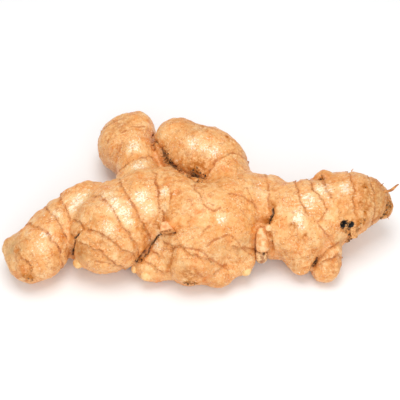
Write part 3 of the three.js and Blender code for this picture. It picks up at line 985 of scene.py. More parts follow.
SCRATCHES = [
    Groove([(-18.1, 16.2, 29.2), (-16.9, 16.5, 30.9), (-15.7, 14.1, 31.5)], 0.7, 0.5),
    Groove([(57.5, -20.5, 31.8), (55.2, -24, 29.9), (51.9, -27.6, 28.7)], 0.7, 0.25),
    Groove([(30.8, -4, 29.7), (30.6, -11.1, 31.1), (30.5, -16.3, 31), (30.6, -20.9, 30.2)], 0.7, 0.35),
    Groove([(49.7, -26.1, 30.3), (53.8, -29.2, 25.8), (58.2, -31, 20.2), (60.1, -33.1, 17)], 0.6, 0.3),
    Groove([(-43.6, 24.8, 24), (-42.6, 26.6, 25.6), (-41.2, 27.9, 27)], 0.5, 0.2),
    Groove([(-36.8, 26.9, 28.7), (-35.6, 27.6, 28.9), (-34.4, 28.1, 29)], 0.5, 0.2),
    Groove([(-39.4, 17.5, 24.5), (-37.5, 19.5, 26.3), (-36.6, 22.5, 27.8)], 0.5, 0.2),
    Groove([(1.3, -17.8, 38.2), (2.2, -21.5, 37.8), (3.5, -23.9, 37.3), (6.1, -24.8, 37)], 0.5, 0.2),
    Groove([(-33, 30.5, 28), (-30, 30.8, 27.6), (-26.5, 31.5, 27)], 0.5, 0.15),
    Groove([(-12.7, -37.7, 23), (-9.6, -38.4, 24.7), (-5.2, -39.9, 26), (0, -41.3, 24.9)], 0.8, 0.45),
    Groove([(0, -41.3, 24.9), (4.4, -42.2, 21.7), (8.8, -42.1, 16.5), (12.4, -41.9, 12.6)], 0.8, 0.45),
    Groove([(-2.6, -45.9, 19.5), (0, -47, 15.7), (1.8, -46.7, 10.9)], 0.7, 0.4),
    Groove([(14, -34.3, 26.5), (17.6, -35.5, 22.4), (20.8, -35.7, 17.6), (24.1, -35.2, 13.3)], 0.8, 0.4),
    Groove([(2.6, -40, 26.1), (5.7, -37.7, 27.4), (10, -35.3, 27.9), (12.2, -34.5, 27.5)], 0.6, 0.25),
    Groove([(12.3, -17.6, 36.7), (15.9, -17.2, 35.5), (19, -17.9, 34.2), (23.5, -18.5, 31.6)], 0.5, 0.2),
    Groove([(20.9, -12.4, 34), (23.1, -16.8, 32.3), (25.3, -20.4, 29.7)], 0.6, 0.3),
    Groove([(0.9, -35.9, 31.4), (2.2, -34.3, 32.8), (4.8, -33.6, 32.7)], 0.6, 0.25),
    Groove([(-20.6, -7.4, 35.6), (-19, -14.6, 36.5), (-18.5, -18.9, 35.4)], 0.6, 0.25),
    Groove([(-13.7, -14.7, 38), (-13, -17.8, 37.5), (-12.7, -20.6, 36.8), (-13.6, -22.5, 35.7)], 0.6, 0.25),
    Groove(
        [(-46.1, -41.7, 18.1), (-42.1, -42.2, 18.1), (-38.7, -42.3, 16.1), (-36.5, -40.9, 11.2)],
        0.7, 0.4,
    ),
    Groove([(1.7, -24.8, 37), (3.9, -27.1, 36.4), (6.1, -27.4, 36.1), (9.2, -25.8, 36.2)], 0.5, 0.2),
]

FLATS = [
    Flat((-84, -35.2, 19.7), (-0.72, -0.38, 0.58), 1.4, 11),
    Flat((-42, -39.5, 22), (-0.12, -0.86, 0.5), 2.4, 16),
    Flat((-38, 27, 27), (-0.3, 0.15, 0.94), 1.3, 12),
    Flat((20, -36, 20), (0.35, -0.84, 0.42), 1.2, 9),
    Flat((58.5, -41, 11), (0.2, -0.72, 0.66), 1.6, 7),
    Flat((63, -37, 11), (0.85, -0.3, 0.43), 1.2, 6),
    Flat((-3, -40, 24), (0, -0.75, 0.66), 1.2, 12),
    Flat((40, -34, 22), (-0.1, -0.8, 0.6), 1.0, 11),
    Flat((78, -17, 25), (0.35, -0.7, 0.62), 1.0, 9),
]


def distance_to_line(points: np.ndarray, places: list[Point]) -> np.ndarray:
    """Measure how far points are from a line of places.

    Args:
        points: The points, one a row.
        places: The corners of the line.

    Returns:
        A distance for each point.
    """
    nearest = np.full(len(points), FAR)
    corners = [np.array(place, dtype=float) for place in places]
    for start, end in pairwise(corners):
        run = end - start
        share = np.clip((points - start) @ run / max(run @ run, TINY), 0, 1)
        nearest = np.minimum(nearest, np.linalg.norm(points - start - share[:, None] * run, axis=1))
    return nearest


# ------------------------------------------------------------------ the skin


@dataclass
class SkinFacts:
    """What is known about the points of the skin. Each field holds a value for each point."""

    points: np.ndarray  # where it is
    facing: np.ndarray  # which way the skin faces, before its relief
    reading: Reading  # what the limbs say
    beyond: np.ndarray  # how far beyond the edge of the nearest ring
    onward: np.ndarray  # that ring's normal
    fullness: np.ndarray  # how full that ring is, from 0 to 1
    narrow: np.ndarray  # 1 where limbs meet in a crease, and 0 where they flow together
    # soil also holds the two patches of painted shadow under the front branch.
    soil: np.ndarray  # how much soil there is
    grain: np.ndarray  # the place along and round the limb, which the fibres follow


@dataclass
class RhizomeSkin:
    """The skin of the whole rhizome, with its rings, creases, scars and wrinkles.

    A field that ends in size is the breadth of the hills of a random relief, and one that ends in offset
    tells how far off in them that relief is read, so that no two are alike.
    """

    rhizome: Rhizome
    voxel: float = 0.7
    ball_spacing: float = 4.0
    settle_rounds: int = 4
    least_fullness: float = 0.3
    lip_height: float = 0.34
    lip_run: float = 1.8
    lip_change: float = 0.7
    lip_change_size: float = 7.0
    lip_change_offset: float = 70.0
    lip_back: tuple[float, float] = (-3.0, -1.0)
    fall: float = 0.6
    foot_depth: float = 0.3
    foot_run: float = 5.0
    faded: float = 3.0
    ragged: tuple[tuple[float, float], ...] = ((9.0, 1.6), (3.0, 1.0))
    fibre_height: float = 0.12
    fibre_size: float = 1.3
    fibre_pitch: float = 0.12
    fibre_slant: Point = (0.36, 0.48, 0.8)
    limb_offset: float = 40.0
    knobs: tuple[tuple[float, float], ...] = ((7.0, 0.5), (3.4, 0.28))
    knob_middle: float = 0.3
    wrinkle_height: float = 0.2
    wrinkle_size: float = 1.9
    narrow_widths: tuple[float, float] = (1.5, 4.5)
    crease_depth: float = 0.6
    crease_reach: float = 1.6
    seam_depth: float = 1.4
    seam_reach: float = 0.9
    deepest: float = 8.0
    wander: float = 0.55
    wander_size: float = 3.0
    wander_offset: float = 40.0
    chance_flats: int = 110
    chance_depth: float = 0.6
    chance_reach: float = 7.0
    flat_strength: float = 0.85
    flat_facing: float = 0.4
    flat_edge: float = 0.7
    crack_far: float = 4.0
    crack_fade: float = 1.2

    def block_out(self) -> bpy.types.Object:
        """Block the limbs out with balls, and join the balls by a voxel remesh.

        Returns:
            The rough body, as one closed mesh.
        """
        deselect()
        bpy.ops.mesh.primitive_uv_sphere_add(segments=20, ring_count=12, radius=1)
        ball = name_active("ball")
        frames = []
        for limb in self.rhizome.limbs:
            LOG.info("blocking out the %s, %.0f mm long", limb.name, limb.length)
            count = max(2, math.ceil(limb.length / self.ball_spacing) + 1)
            for mark in np.linspace(0, limb.length, count):
                x, y, z, radius = (np.interp(mark, limb.marks, limb.links[:, k]) for k in range(4))
                frames.append(np.vstack([np.eye(3) * radius, (x, y, z)]))
        body = copies_of(ball, frames, "ginger_skin")
        bpy.context.view_layer.objects.active = body
        body.select_set(True)
        bpy.ops.object.modifier_add(type="REMESH")
        remesh = body.modifiers[-1]
        remesh.mode, remesh.voxel_size, remesh.adaptivity = "VOXEL", self.voxel * MM, 0
        bpy.ops.object.modifier_apply(modifier=remesh.name)
        return body

    def sculpt(self, body: bpy.types.Object) -> SkinFacts:
        """Move the rough body's points onto the skin, raise its relief and keep its attributes.

        Args:
            body: The rough body.

        Returns:
            What is known about its points.
        """
        mesh = body.data
        points = self.drawn_in(mesh)
        wander = Clouds(Seed.RINGS)
        ragged = sum(height * wander.at(points, size) for size, height in self.ragged)
        reading = self.rhizome.read(points)
        beyond, onward, fullness = self.rhizome.edges(points, reading, ragged)
        near = (np.abs(beyond) < self.voxel / 2) & (fullness > self.least_fullness)
        points[near] -= beyond[near, None] * onward[near]
        beyond[near] = 0
        place_points(mesh, points)
        points = self.flattened(points, point_normals(mesh))
        place_points(mesh, points)
        narrow = 1 - smooth_step(reading.width, *self.narrow_widths)
        along = self.fibre_pitch * reading.distance + self.limb_offset * reading.owner
        grain = reading.away + along[:, None] * np.array(self.fibre_slant)
        soil = self.keep_stains(mesh, points)
        facing = point_normals(mesh)
        facts = SkinFacts(points, facing, reading, beyond, onward, fullness, narrow, soil, grain)
        facts.points = points + self.relief(facts)[:, None] * facing
        facts.points[:, 2] = np.maximum(facts.points[:, 2], 0)
        place_points(mesh, facts.points)
        mesh.shade_smooth()
        keep_attribute(mesh, "grain", grain)
        keep_attribute(mesh, "ring", np.abs(beyond) + self.faded * (1 - fullness))
        keep_attribute(mesh, "lip", fullness * (beyond < 0) * smooth_step(beyond, *self.lip_back))
        keep_attribute(mesh, "clear", np.minimum(reading.clear, self.deepest))
        keep_attribute(mesh, "narrow", narrow)
        return facts

    def drawn_in(self, mesh: bpy.types.Mesh) -> np.ndarray:
        """Draw a mesh's points in to the smooth skin, evenly spaced.

        Args:
            mesh: The mesh, which is left as it is.

        Returns:
            The moved points.
        """
        ends = np.empty(len(mesh.edges) * 2, dtype=int)
        mesh.edges.foreach_get("vertices", ends)
        points = mesh_points(mesh)
        for _ in range(self.settle_rounds):
            points = self.rhizome.settle(self.relaxed(points, ends.reshape(-1, 2)), 2)
        return self.rhizome.settle(points, 1)

    def relief(self, facts: SkinFacts) -> np.ndarray:
        """Find the height of the rings, fibres, wrinkles, knobs, creases, seams and scars.

        Args:
            facts: What is known about the points.

        Returns:
            A height for each point.
        """
        points, clear = facts.points, facts.reading.clear
        change = Clouds(Seed.RINGS).at(points + self.lip_change_offset, self.lip_change_size)
        height = self.ring_profile(facts.beyond) * facts.fullness * (1 + self.lip_change * change)
        height += self.fibre_height * Clouds(Seed.FIBRES).at(facts.grain, self.fibre_size)
        height += self.wrinkle_height * Clouds(Seed.WRINKLES).at(points, self.wrinkle_size)
        for size, rise in self.knobs:
            height += rise * (np.abs(Clouds(Seed.KNOBS).at(points, size)) - self.knob_middle)
        height -= self.crease_depth * facts.narrow * (1 - smooth_step(clear, 0, self.crease_reach))
        height -= self.seam_depth * facts.narrow * facts.soil * np.exp(-((clear / self.seam_reach) ** 2))
        return height + self.scar_relief(points)

    @staticmethod
    def relaxed(points: np.ndarray, ends: np.ndarray) -> np.ndarray:
        """Move each point half way to the middle of its neighbours.

        Args:
            points: The points, one a row.
            ends: The two points of each edge, one edge a row.

        Returns:
            The moved points.
        """
        both = np.concatenate([ends, ends[:, ::-1]])
        count = np.bincount(both[:, 0], minlength=len(points))
        total = [np.bincount(both[:, 0], points[both[:, 1], k], len(points)) for k in range(3)]
        return (points + np.stack(total, axis=1) / count[:, None]) / 2

    def flattened(self, points: np.ndarray, facing: np.ndarray) -> np.ndarray:
        """Flatten the skin in its known flats and at places of chance.

        Args:
            points: The points, one a row.
            facing: Which way each faces.

        Returns:
            The moved points.
        """
        draw = np.random.default_rng(Seed.FLATS)
        flats = list(FLATS)
        for at in draw.choice(len(points), self.chance_flats, replace=False):
            depth = self.chance_depth * draw.uniform(0.5, 1.5)
            flats.append(Flat(tuple(points[at]), tuple(facing[at]), depth, self.chance_reach))
        for flat in flats:
            aim = unit(np.array(flat.aim))
            away = np.linalg.norm(points - flat.place, axis=1)
            near = np.flatnonzero((away < flat.reach) & (facing @ aim > self.flat_facing))
            if not len(near):
                continue
            rise = points[near] @ aim
            over = np.maximum(rise - (rise.max() - flat.depth), 0)
            hold = smooth_step(away[near], flat.reach, self.flat_edge * flat.reach)
            points[near] -= (self.flat_strength * over * hold)[:, None] * aim
        return points

    def ring_profile(self, beyond: np.ndarray) -> np.ndarray:
        """Find the height of a ring: a lip that curls up to its edge, a sharp fall, and a slow rise.

        Args:
            beyond: How far each point is beyond the edge.

        Returns:
            A height for each point.
        """
        lip = self.lip_height * np.clip(1 + beyond / self.lip_run, 0, 1) ** 2
        drop = self.lip_height - (self.lip_height + self.foot_depth) * beyond / self.fall
        foot = -self.foot_depth * np.clip(1 - (beyond - self.fall) / self.foot_run, 0, 1) ** 1.5
        return np.where(beyond <= 0, lip, np.where(beyond < self.fall, drop, foot))

    @staticmethod
    def on_skin(points: np.ndarray, places: list[Point], spacing: float = 1.4) -> list[Point]:
        """Lay a line of places on the skin.

        Args:
            points: The points of the skin, one a row.
            places: The corners of the line, which may be a single place.
            spacing: How far apart the laid places are.

        Returns:
            The nearest points of the skin, all along the line.
        """
        corners = [np.array(place, dtype=float) for place in places]
        between = corners[:1]
        for start, end in pairwise(corners):
            steps = max(1, round(float(np.linalg.norm(end - start)) / spacing))
            between += [start + (end - start) * (at + 1) / steps for at in range(steps)]
        laid = np.array([points[np.argmin(np.linalg.norm(points - place, axis=1))] for place in between])
        laid[1:-1] = (laid[:-2] + 2 * laid[1:-1] + laid[2:]) / 4
        return [tuple(place) for place in laid]

    def wobbled(self, points: np.ndarray) -> np.ndarray:
        """Push points about a little, so that a line measured from them wanders.

        Args:
            points: The points, one a row.

        Returns:
            The moved points.
        """
        clouds = Clouds(Seed.WANDER)
        push = [clouds.at(points + self.wander_offset * turn, self.wander_size) for turn in range(3)]
        return points + self.wander * np.stack(push, axis=1)

    def away_from(self, points: np.ndarray, place: Point) -> np.ndarray:
        """Measure how far points are from the point of the skin that is nearest a place.

        Args:
            points: The points of the skin, one a row.
            place: The place.

        Returns:
            A distance for each point.
        """
        (spot,) = self.on_skin(points, [place])
        return np.linalg.norm(points - spot, axis=1)

    def scar_relief(self, points: np.ndarray) -> np.ndarray:
        """Find the height of all the scars, grooves and scratches.

        Args:
            points: The points of the skin, one a row.

        Returns:
            A height for each point.
        """
        height = np.zeros(len(points))
        wobbled = self.wobbled(points)
        for scar in SCARS:
            height += scar.height(self.away_from(points, scar.place))
        for groove in GROOVES + SCRATCHES:
            height += groove.height(distance_to_line(wobbled, self.on_skin(points, groove.places)))
        return height

    def keep_stains(self, mesh: bpy.types.Mesh, points: np.ndarray) -> np.ndarray:
        """Keep how strongly each kind of stain, painted shade or painted highlight colours each point, and
        where the cracks are.

        Args:
            mesh: The mesh.
            points: Its points.

        Returns:
            How much soil there is at each point.
        """
        shares = {stain: np.zeros(len(points)) for stain in Stain}
        for stain, patches in PATCHES.items():
            for patch in patches:
                share = patch.share(self.away_from(points, patch.place))
                shares[stain] = np.maximum(shares[stain], share)
        crack, scratch = np.full((2, len(points)), self.crack_far)
        earth = np.zeros(len(points))
        wobbled = self.wobbled(points)
        for groove in GROOVES:
            off = distance_to_line(wobbled, self.on_skin(points, groove.places))
            crack = np.minimum(crack, off + self.crack_fade * (1 - groove.soil))
            earth = np.maximum(earth, groove.earth(off))
            shares[Stain.RUST_AND_SHADE] = np.maximum(shares[Stain.RUST_AND_SHADE], groove.rust(off))
        for groove in SCRATCHES:
            scratch = np.minimum(scratch, distance_to_line(wobbled, self.on_skin(points, groove.places)))
        for stain, share in shares.items():
            keep_attribute(mesh, stain.value, share)
        keep_attribute(mesh, "crack", crack)
        keep_attribute(mesh, "scratch", scratch)
        return np.maximum(shares[Stain.SOIL_AND_SHADOW], earth)

    def build(self) -> SkinFacts:
        """Make and dress the skin, which stands for the solid.

        Returns:
            What is known about its points.
        """
        skin = self.block_out()
        facts = self.sculpt(skin)
        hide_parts(NODE)
        dress(skin, SkinFinish())
        return facts


# ------------------------------------------------------------------ shader building


def paint(red: int, green: int, blue: int) -> Colour:
    """Turn a colour as it is seen on a screen, from 0 to 255, into the shader's own numbers."""
    return tuple((part / 255) ** 2.2 for part in (red, green, blue))


@dataclass(frozen=True)
class Signal:
    """An output of a shader node. Arithmetic on it adds Math nodes."""

    sheet: ShaderSheet
    socket: bpy.types.NodeSocket

    def __add__(self, other: Signal | float) -> Signal:
        """Add."""
        return self.sheet.math("ADD", self, other)

    def __radd__(self, other: float) -> Signal:
        """Add to a number."""
        return self.sheet.math("ADD", other, self)

    def __sub__(self, other: Signal | float) -> Signal:
        """Subtract."""
        return self.sheet.math("SUBTRACT", self, other)

    def __rsub__(self, other: float) -> Signal:
        """Subtract from a number."""
        return self.sheet.math("SUBTRACT", other, self)

    def __mul__(self, other: Signal | float) -> Signal:
        """Multiply."""
        return self.sheet.math("MULTIPLY", self, other)

    def __rmul__(self, other: float) -> Signal:
        """Multiply a number."""
        return self.sheet.math("MULTIPLY", other, self)

    def most(self, other: Signal | float) -> Signal:
        """Take the greater of two."""
        return self.sheet.math("MAXIMUM", self, other)

    def rise(self, low: float, high: float) -> Signal:
        """Rise smoothly from 0 at low to 1 at high.

        Args:
            low: The value that gives 0.
            high: The value that gives 1, which is the greater.

        Returns:
            The share.
        """
        settings = {"interpolation_type": "SMOOTHSTEP"}
        inputs = {"Value": self, "From Min": low, "From Max": high}
        return self.sheet.node("ShaderNodeMapRange", settings, inputs)

    def drop(self, low: float, high: float) -> Signal:
        """Fall smoothly from 1 at low to 0 at high."""
        return 1 - self.rise(low, high)


# How much of a coat there is, and its colour.
Coat = tuple[Signal, Colour]


class ShaderSheet:
    """A material whose nodes are laid out by expressions."""

    def __init__(self, name: str) -> None:
        """Start a material with a Principled surface.

        Args:
            name: The material's name.
        """
        self.material = bpy.data.materials.new(name)
        self.material.use_nodes = True
        self.tree = self.material.node_tree
        self.surface = next(node for node in self.tree.nodes if node.type == "BSDF_PRINCIPLED")

    def node(
        self,
        kind: str,
        settings: dict[str, object] | None = None,
        inputs: dict[str | int, object] | None = None,
        output: str | int = 0,
    ) -> Signal:
        """Add a node.

        Args:
            kind: The node's type.
            settings: Its settings, which are set first.
            inputs: The values or signals of its sockets, by name or number.
            output: The output to return.

        Returns:
            That output.
        """
        node = self.tree.nodes.new(kind)
        for name, value in (settings or {}).items():
            setattr(node, name, value)
        for name, value in (inputs or {}).items():
            self.feed(node.inputs[name], value)
        return Signal(self, node.outputs[output])

    def feed(self, socket: bpy.types.NodeSocket, value: Signal | float | tuple) -> None:
        """Link a signal to a socket, or set the socket to a value.

        Args:
            socket: The socket.
            value: The signal, number, colour or vector.
        """
        if isinstance(value, Signal):
            self.tree.links.new(value.socket, socket)
        elif socket.type == "RGBA":
            socket.default_value = (*value, 1) if len(value) == 3 else value
        else:
            socket.default_value = value

    def math(self, operation: str, *values: Signal | float) -> Signal:
        """Add a Math node on one or two values."""
        return self.node("ShaderNodeMath", {"operation": operation}, dict(enumerate(values)))

    def mix(self, share: Signal | float, one: Signal | Colour, other: Signal | Colour) -> Signal:
        """Mix two colours.

        Args:
            share: How much of the second colour there is.
            one: The first colour.
            other: The second colour.

        Returns:
            The mixed colour.
        """
        settings = {"data_type": "RGBA", "clamp_factor": True}
        return self.node("ShaderNodeMix", settings, {0: share, 6: one, 7: other}, 2)

    def coated(self, colour: Signal, *coats: Coat) -> Signal:
        """Lay coats of colour over a colour, one after another.

        Args:
            colour: The colour underneath.
            coats: For each coat, how much of it there is and its colour.

        Returns:
            The colour on top.
        """
        for share, coat in coats:
            colour = self.mix(share, colour, coat)
        return colour

    def place(self) -> Signal:
        """Give the place on the object, in millimetres."""
        spot = self.node("ShaderNodeTexCoord", output="Object")
        return self.scaled(spot, (1 / MM,) * 3)

    def scaled(self, vector: Signal, by: Point) -> Signal:
        """Scale a vector along each axis."""
        return self.node("ShaderNodeVectorMath", {"operation": "MULTIPLY"}, {0: vector, 1: by})

    def sum(self, one: Signal, other: Signal) -> Signal:
        """Add two vectors."""
        return self.node("ShaderNodeVectorMath", {"operation": "ADD"}, {0: one, 1: other})

    def warped(self, vector: Signal, size: float, amount: float) -> Signal:
        """Push a vector about by a noise.

        Args:
            vector: The vector.
            size: The breadth of the noise's hills.
            amount: How far it is pushed.

        Returns:
            The pushed vector.
        """
        push = self.node("ShaderNodeTexNoise", {}, {"Vector": vector, "Scale": 1 / size}, "Color")
        return self.sum(vector, self.scaled(push, (amount,) * 3))

    def number(self, name: str) -> Signal:
        """Read a number that the mesh keeps for each point."""
        return self.node("ShaderNodeAttribute", {"attribute_name": name}, output="Fac")

    def vector(self, name: str) -> Signal:
        """Read a vector that the mesh keeps for each point."""
        return self.node("ShaderNodeAttribute", {"attribute_name": name}, output="Vector")

    def noise(self, vector: Signal, size: float, detail: float = 2, rough: float = 0.5) -> Signal:
        """Add a noise texture.

        Args:
            vector: Where it is read, in millimetres.
            size: The breadth of its hills.
            detail: How many finer layers it has.
            rough: How strong they are.

        Returns:
            A value about 0.5.
        """
        inputs = {"Vector": vector, "Scale": 1 / size, "Detail": detail, "Roughness": rough}
        return self.node("ShaderNodeTexNoise", {}, inputs, "Fac")

    def cells(self, vector: Signal, size: float, feature: str = "F1") -> Signal:
        """Add a Voronoi texture, which gives the distance to the nearest cell's middle or edge."""
        inputs = {"Vector": vector, "Scale": 1 / size}
        return self.node("ShaderNodeTexVoronoi", {"feature": feature}, inputs, "Distance")

    def bump(self, height: Signal) -> Signal:
        """Turn a height in millimetres into a normal."""
        return self.node("ShaderNodeBump", {}, {"Height": height, "Distance": MM, "Strength": 1.0}, "Normal")

    def finish(self, **inputs: Signal | float | Colour) -> bpy.types.Material:
        """Feed the Principled surface.

        Args:
            inputs: Its sockets, by name with underscores for spaces.

        Returns:
            The material.
        """
        for name, value in inputs.items():
            self.feed(self.surface.inputs[name.replace("_", " ")], value)
        return self.material


# ------------------------------------------------------------------ finishes


class SkinPatterns:
    """The patterns that the skin's finish is mixed from, laid out on one sheet."""

    def __init__(self, sheet: ShaderSheet) -> None:
        """Lay out the patterns.

        Args:
            sheet: The sheet.
        """
        self.sheet = sheet
        place, grain = sheet.place(), sheet.vector("grain")
        self.ring, self.lip, self.clear, self.narrow, self.crack, self.scratch = (
            sheet.number(name) for name in ("ring", "lip", "clear", "narrow", "crack", "scratch")
        )
        self.soil, self.rust, self.grey, self.pale, self.hole_shade = (sheet.number(stain.value) for stain in Stain)

        # Plain mottles, from the broadest to the finest.
        self.broad = sheet.noise(place, 15, 3)
        self.middle = sheet.noise(place, 5, 4, 0.62)
        self.broken = sheet.noise(place, 3.2, 4, 0.65)
        self.mottle = sheet.noise(place, 2.1, 4, 0.7)
        self.fine = sheet.noise(place, 0.9, 3, 0.7)
        self.speck = sheet.noise(place, 0.5, 2, 0.6)
        self.flaky = 0.25 + 0.75 * sheet.noise(place, 8, 3).rise(0.46, 0.6)

        # Fibres and dashes run along the limb, and fade where the grain turns from one limb to the next.
        within = self.clear.rise(0.3, 1.3)
        self.fibre = 0.5 + within * (sheet.noise(grain, 1.0, 3, 0.65) - 0.5)
        dash = sheet.noise(sheet.sum(grain, sheet.scaled(place, (0.3,) * 3)), 1.2, 3, 0.7)
        self.dash = 0.5 + within * (dash - 0.5)

        # The stain on both sides of a ring, and its line.
        tooth = (self.fibre - 0.5) * 2.4 + (self.fine - 0.5) * 1.2
        self.halo = (self.ring + tooth).drop(0.3, 2.2)
        self.line = (self.ring + tooth * 0.6).drop(0.1, 0.6)

        # Earth, in grains, and what lies in creases, cracks and scratches; in creases the fold is also
        # painted shade.
        self.grit = sheet.cells(place, 0.9).drop(0.25, 0.5)
        # The soil broken up by noise; two of its patches are painted shadow under the front branch.
        self.dirt_and_shadow = self.soil * (0.85 + (self.mottle - 0.5) * 3 + (self.fine - 0.5) * 2)
        # fold darkens the skin close in the narrow creases where limbs meet, as dirt and as painted shade.
        self.fold = (self.clear + (self.mottle - 0.5) * 3).drop(0.2, 3.2) * self.narrow
        seam = (self.clear + (self.fine - 0.5) * 1.2).drop(0.1, 0.9) * self.soil.rise(0.12, 0.4) * self.narrow
        self.filled = (self.crack + (self.fine - 0.5) * 1.2).drop(0.35, 0.85).most(seam)
        self.score = (self.scratch + (self.fine - 0.5) * 1.3).drop(0.2, 0.75) * self.broken.rise(0.36, 0.48)

        # Fine lines where dry skin has cracked, broad and small, and freckles.
        web = sheet.cells(sheet.warped(place, 2.5, 2.4), 4.2, "DISTANCE_TO_EDGE").drop(0.015, 0.05)
        self.web = web * sheet.noise(place, 6.5, 3).rise(0.5, 0.6)
        stroke = sheet.cells(sheet.warped(place, 1.3, 1.6), 2.6, "DISTANCE_TO_EDGE").drop(0.02, 0.08)
        self.stroke = stroke * sheet.noise(place, 3.4, 3).rise(0.5, 0.57)
        self.freckle = sheet.cells(place, 2.2).drop(0.08, 0.18) * sheet.noise(place, 7, 2).rise(0.44, 0.56)


@dataclass(frozen=True)
class SkinFinish:
    """Thin dry skin, cream to orange-brown, with brown rings, dirt and painted shade in creases, and painted
    highlights.
    """

    peach: Colour = paint(243, 181, 112)
    tan: Colour = paint(237, 165, 91)
    honey: Colour = paint(224, 126, 34)
    cream: Colour = paint(252, 214, 158)
    milk_and_highlight: Colour = paint(255, 240, 210)
    ring: Colour = paint(186, 96, 22)
    umber: Colour = paint(134, 76, 18)
    rust: Colour = paint(192, 112, 32)
    grey: Colour = paint(204, 160, 104)
    earth: Colour = paint(58, 32, 12)
    black: Colour = paint(14, 12, 12)

    def material(self) -> bpy.types.Material:
        """Make the material.

        Returns:
            The material.
        """
        sheet = ShaderSheet("ginger_skin")
        seen = SkinPatterns(sheet)
        colour = self.clean(seen)
        for coats in (self.weathered, self.ringed, self.soiled, self.cracked):
            colour = sheet.coated(colour, *coats(seen))
        earthy = seen.dirt_and_shadow.rise(0.2, 0.6)
        return sheet.finish(
            Base_Color=colour,
            Roughness=0.34 + 0.2 * seen.mottle + 0.35 * earthy + 0.15 * seen.rust + 0.1 * seen.grey,
            Normal=sheet.bump(self.relief(seen)),
            Subsurface_Weight=0.06,
            Subsurface_Radius=(1.0, 0.45, 0.2),
            Subsurface_Scale=0.8 * MM,
            Coat_Weight=0.14 * (1 - earthy),
            Coat_Roughness=0.3,
        )

    def clean(self, seen: SkinPatterns) -> Signal:
        """Colour the clean skin: peach to tan, with mottles of honey and cream.

        Args:
            seen: The patterns.

        Returns:
            The colour.
        """
        return seen.sheet.coated(
            seen.sheet.mix(seen.broad.rise(0.38, 0.62), self.peach, self.tan),
            (seen.middle.rise(0.5, 0.66) * 0.75, self.honey),
            (seen.middle.drop(0.34, 0.48) * 0.55, self.cream),
            (seen.mottle.rise(0.53, 0.66) * (0.2 + 0.4 * seen.flaky), self.honey),
            (seen.mottle.drop(0.36, 0.46) * 0.35, self.cream),
            (seen.fine.rise(0.54, 0.62) * 0.6 * seen.flaky, self.honey),
            (seen.fine.drop(0.36, 0.46) * 0.45 * seen.flaky, self.cream),
            (seen.fibre.drop(0.34, 0.46) * 0.45, self.honey),
            (seen.dash.rise(0.56, 0.66) * 0.45, self.cream),
            (seen.speck.rise(0.54, 0.64) * 0.4 * seen.flaky, self.honey),
            (seen.speck.drop(0.35, 0.46) * 0.3 * seen.flaky, self.milk_and_highlight),
        )

    def weathered(self, seen: SkinPatterns) -> list[Coat]:
        """List the coats of the thin pale skin with its painted highlights, and of the patches of grey and
        rust.

        Args:
            seen: The patterns.

        Returns:
            The coats, the lowest first.
        """
        # Where thin is strongest the skin is painted milk-white as a broken highlight; the cream over the
        # pale patches is partly the thin skin's own colour and partly painted highlight.
        thin = seen.pale + (seen.dash - 0.5) * 4 + (seen.fine - 0.5) * 2.4 + (seen.middle - 0.5) * 1.2
        return [
            (seen.pale.rise(0.05, 0.6) * 0.5, self.cream),
            (thin.rise(0.76, 0.93) * 0.9, self.milk_and_highlight),
            (seen.grey * (0.4 + 0.6 * seen.middle.rise(0.4, 0.6)), self.grey),
            (seen.rust * (0.15 + 0.9 * seen.mottle.rise(0.4, 0.6)), self.rust),
        ]

    def ringed(self, seen: SkinPatterns) -> list[Coat]:
        """List the coats of the rings: a stain on both sides, a pale lip and a broken brown line.

        Args:
            seen: The patterns.

        Returns:
            The coats, the lowest first.
        """
        return [
            (seen.halo * 0.35, self.honey),
            (seen.lip * seen.dash.rise(0.42, 0.58) * 0.5, self.cream),
            (seen.line * (0.25 + 0.6 * seen.broken.rise(0.42, 0.6)), self.ring),
            (seen.line * seen.broken.rise(0.58, 0.68) * 0.5, self.umber),
        ]

    def soiled(self, seen: SkinPatterns) -> list[Coat]:
        """List the coats of soil, of the dirt and painted shade in the creases, and of what lies in the
        cracks and the scratches.

        Args:
            seen: The patterns.

        Returns:
            The coats, the lowest first.
        """
        return [
            # Dirt and painted shade in the narrow creases.
            (seen.fold * 0.4, self.ring),
            (seen.dirt_and_shadow.rise(0.2, 0.6) * 0.75, self.rust),
            (seen.dirt_and_shadow.rise(0.4, 0.8) * (0.35 + 0.65 * seen.grit), self.umber),
            ((seen.dirt_and_shadow + seen.grit * 0.2).rise(0.75, 1.1), self.earth),
            (seen.filled, self.earth),
            (seen.score * 0.7, self.ring),
        ]

    def cracked(self, seen: SkinPatterns) -> list[Coat]:
        """List the coats of the fine cracks and the freckles of the dry skin, and of the black painted shade
        in the holes.

        Args:
            seen: The patterns.

        Returns:
            The coats, the lowest first.
        """
        return [
            (seen.web * 0.28, self.ring),
            (seen.stroke * 0.45, self.ring),
            (seen.freckle * 0.8, self.ring),
            # Black painted shade inside the holes.
            ((seen.hole_shade + (seen.fine - 0.5) * 0.9).rise(0.36, 0.56), self.black),
        ]

    @staticmethod
    def relief(seen: SkinPatterns) -> Signal:
        """Find the height of the finest relief.

        Args:
            seen: The patterns.

        Returns:
            The height in millimetres.
        """
        height = 0.3 * seen.fibre + 0.25 * seen.mottle + 0.15 * seen.fine * seen.flaky
        height = height + 0.25 * seen.dash + 0.3 * seen.middle
        return height - 0.12 * seen.line - 0.08 * seen.web + 0.25 * seen.grit * seen.soil


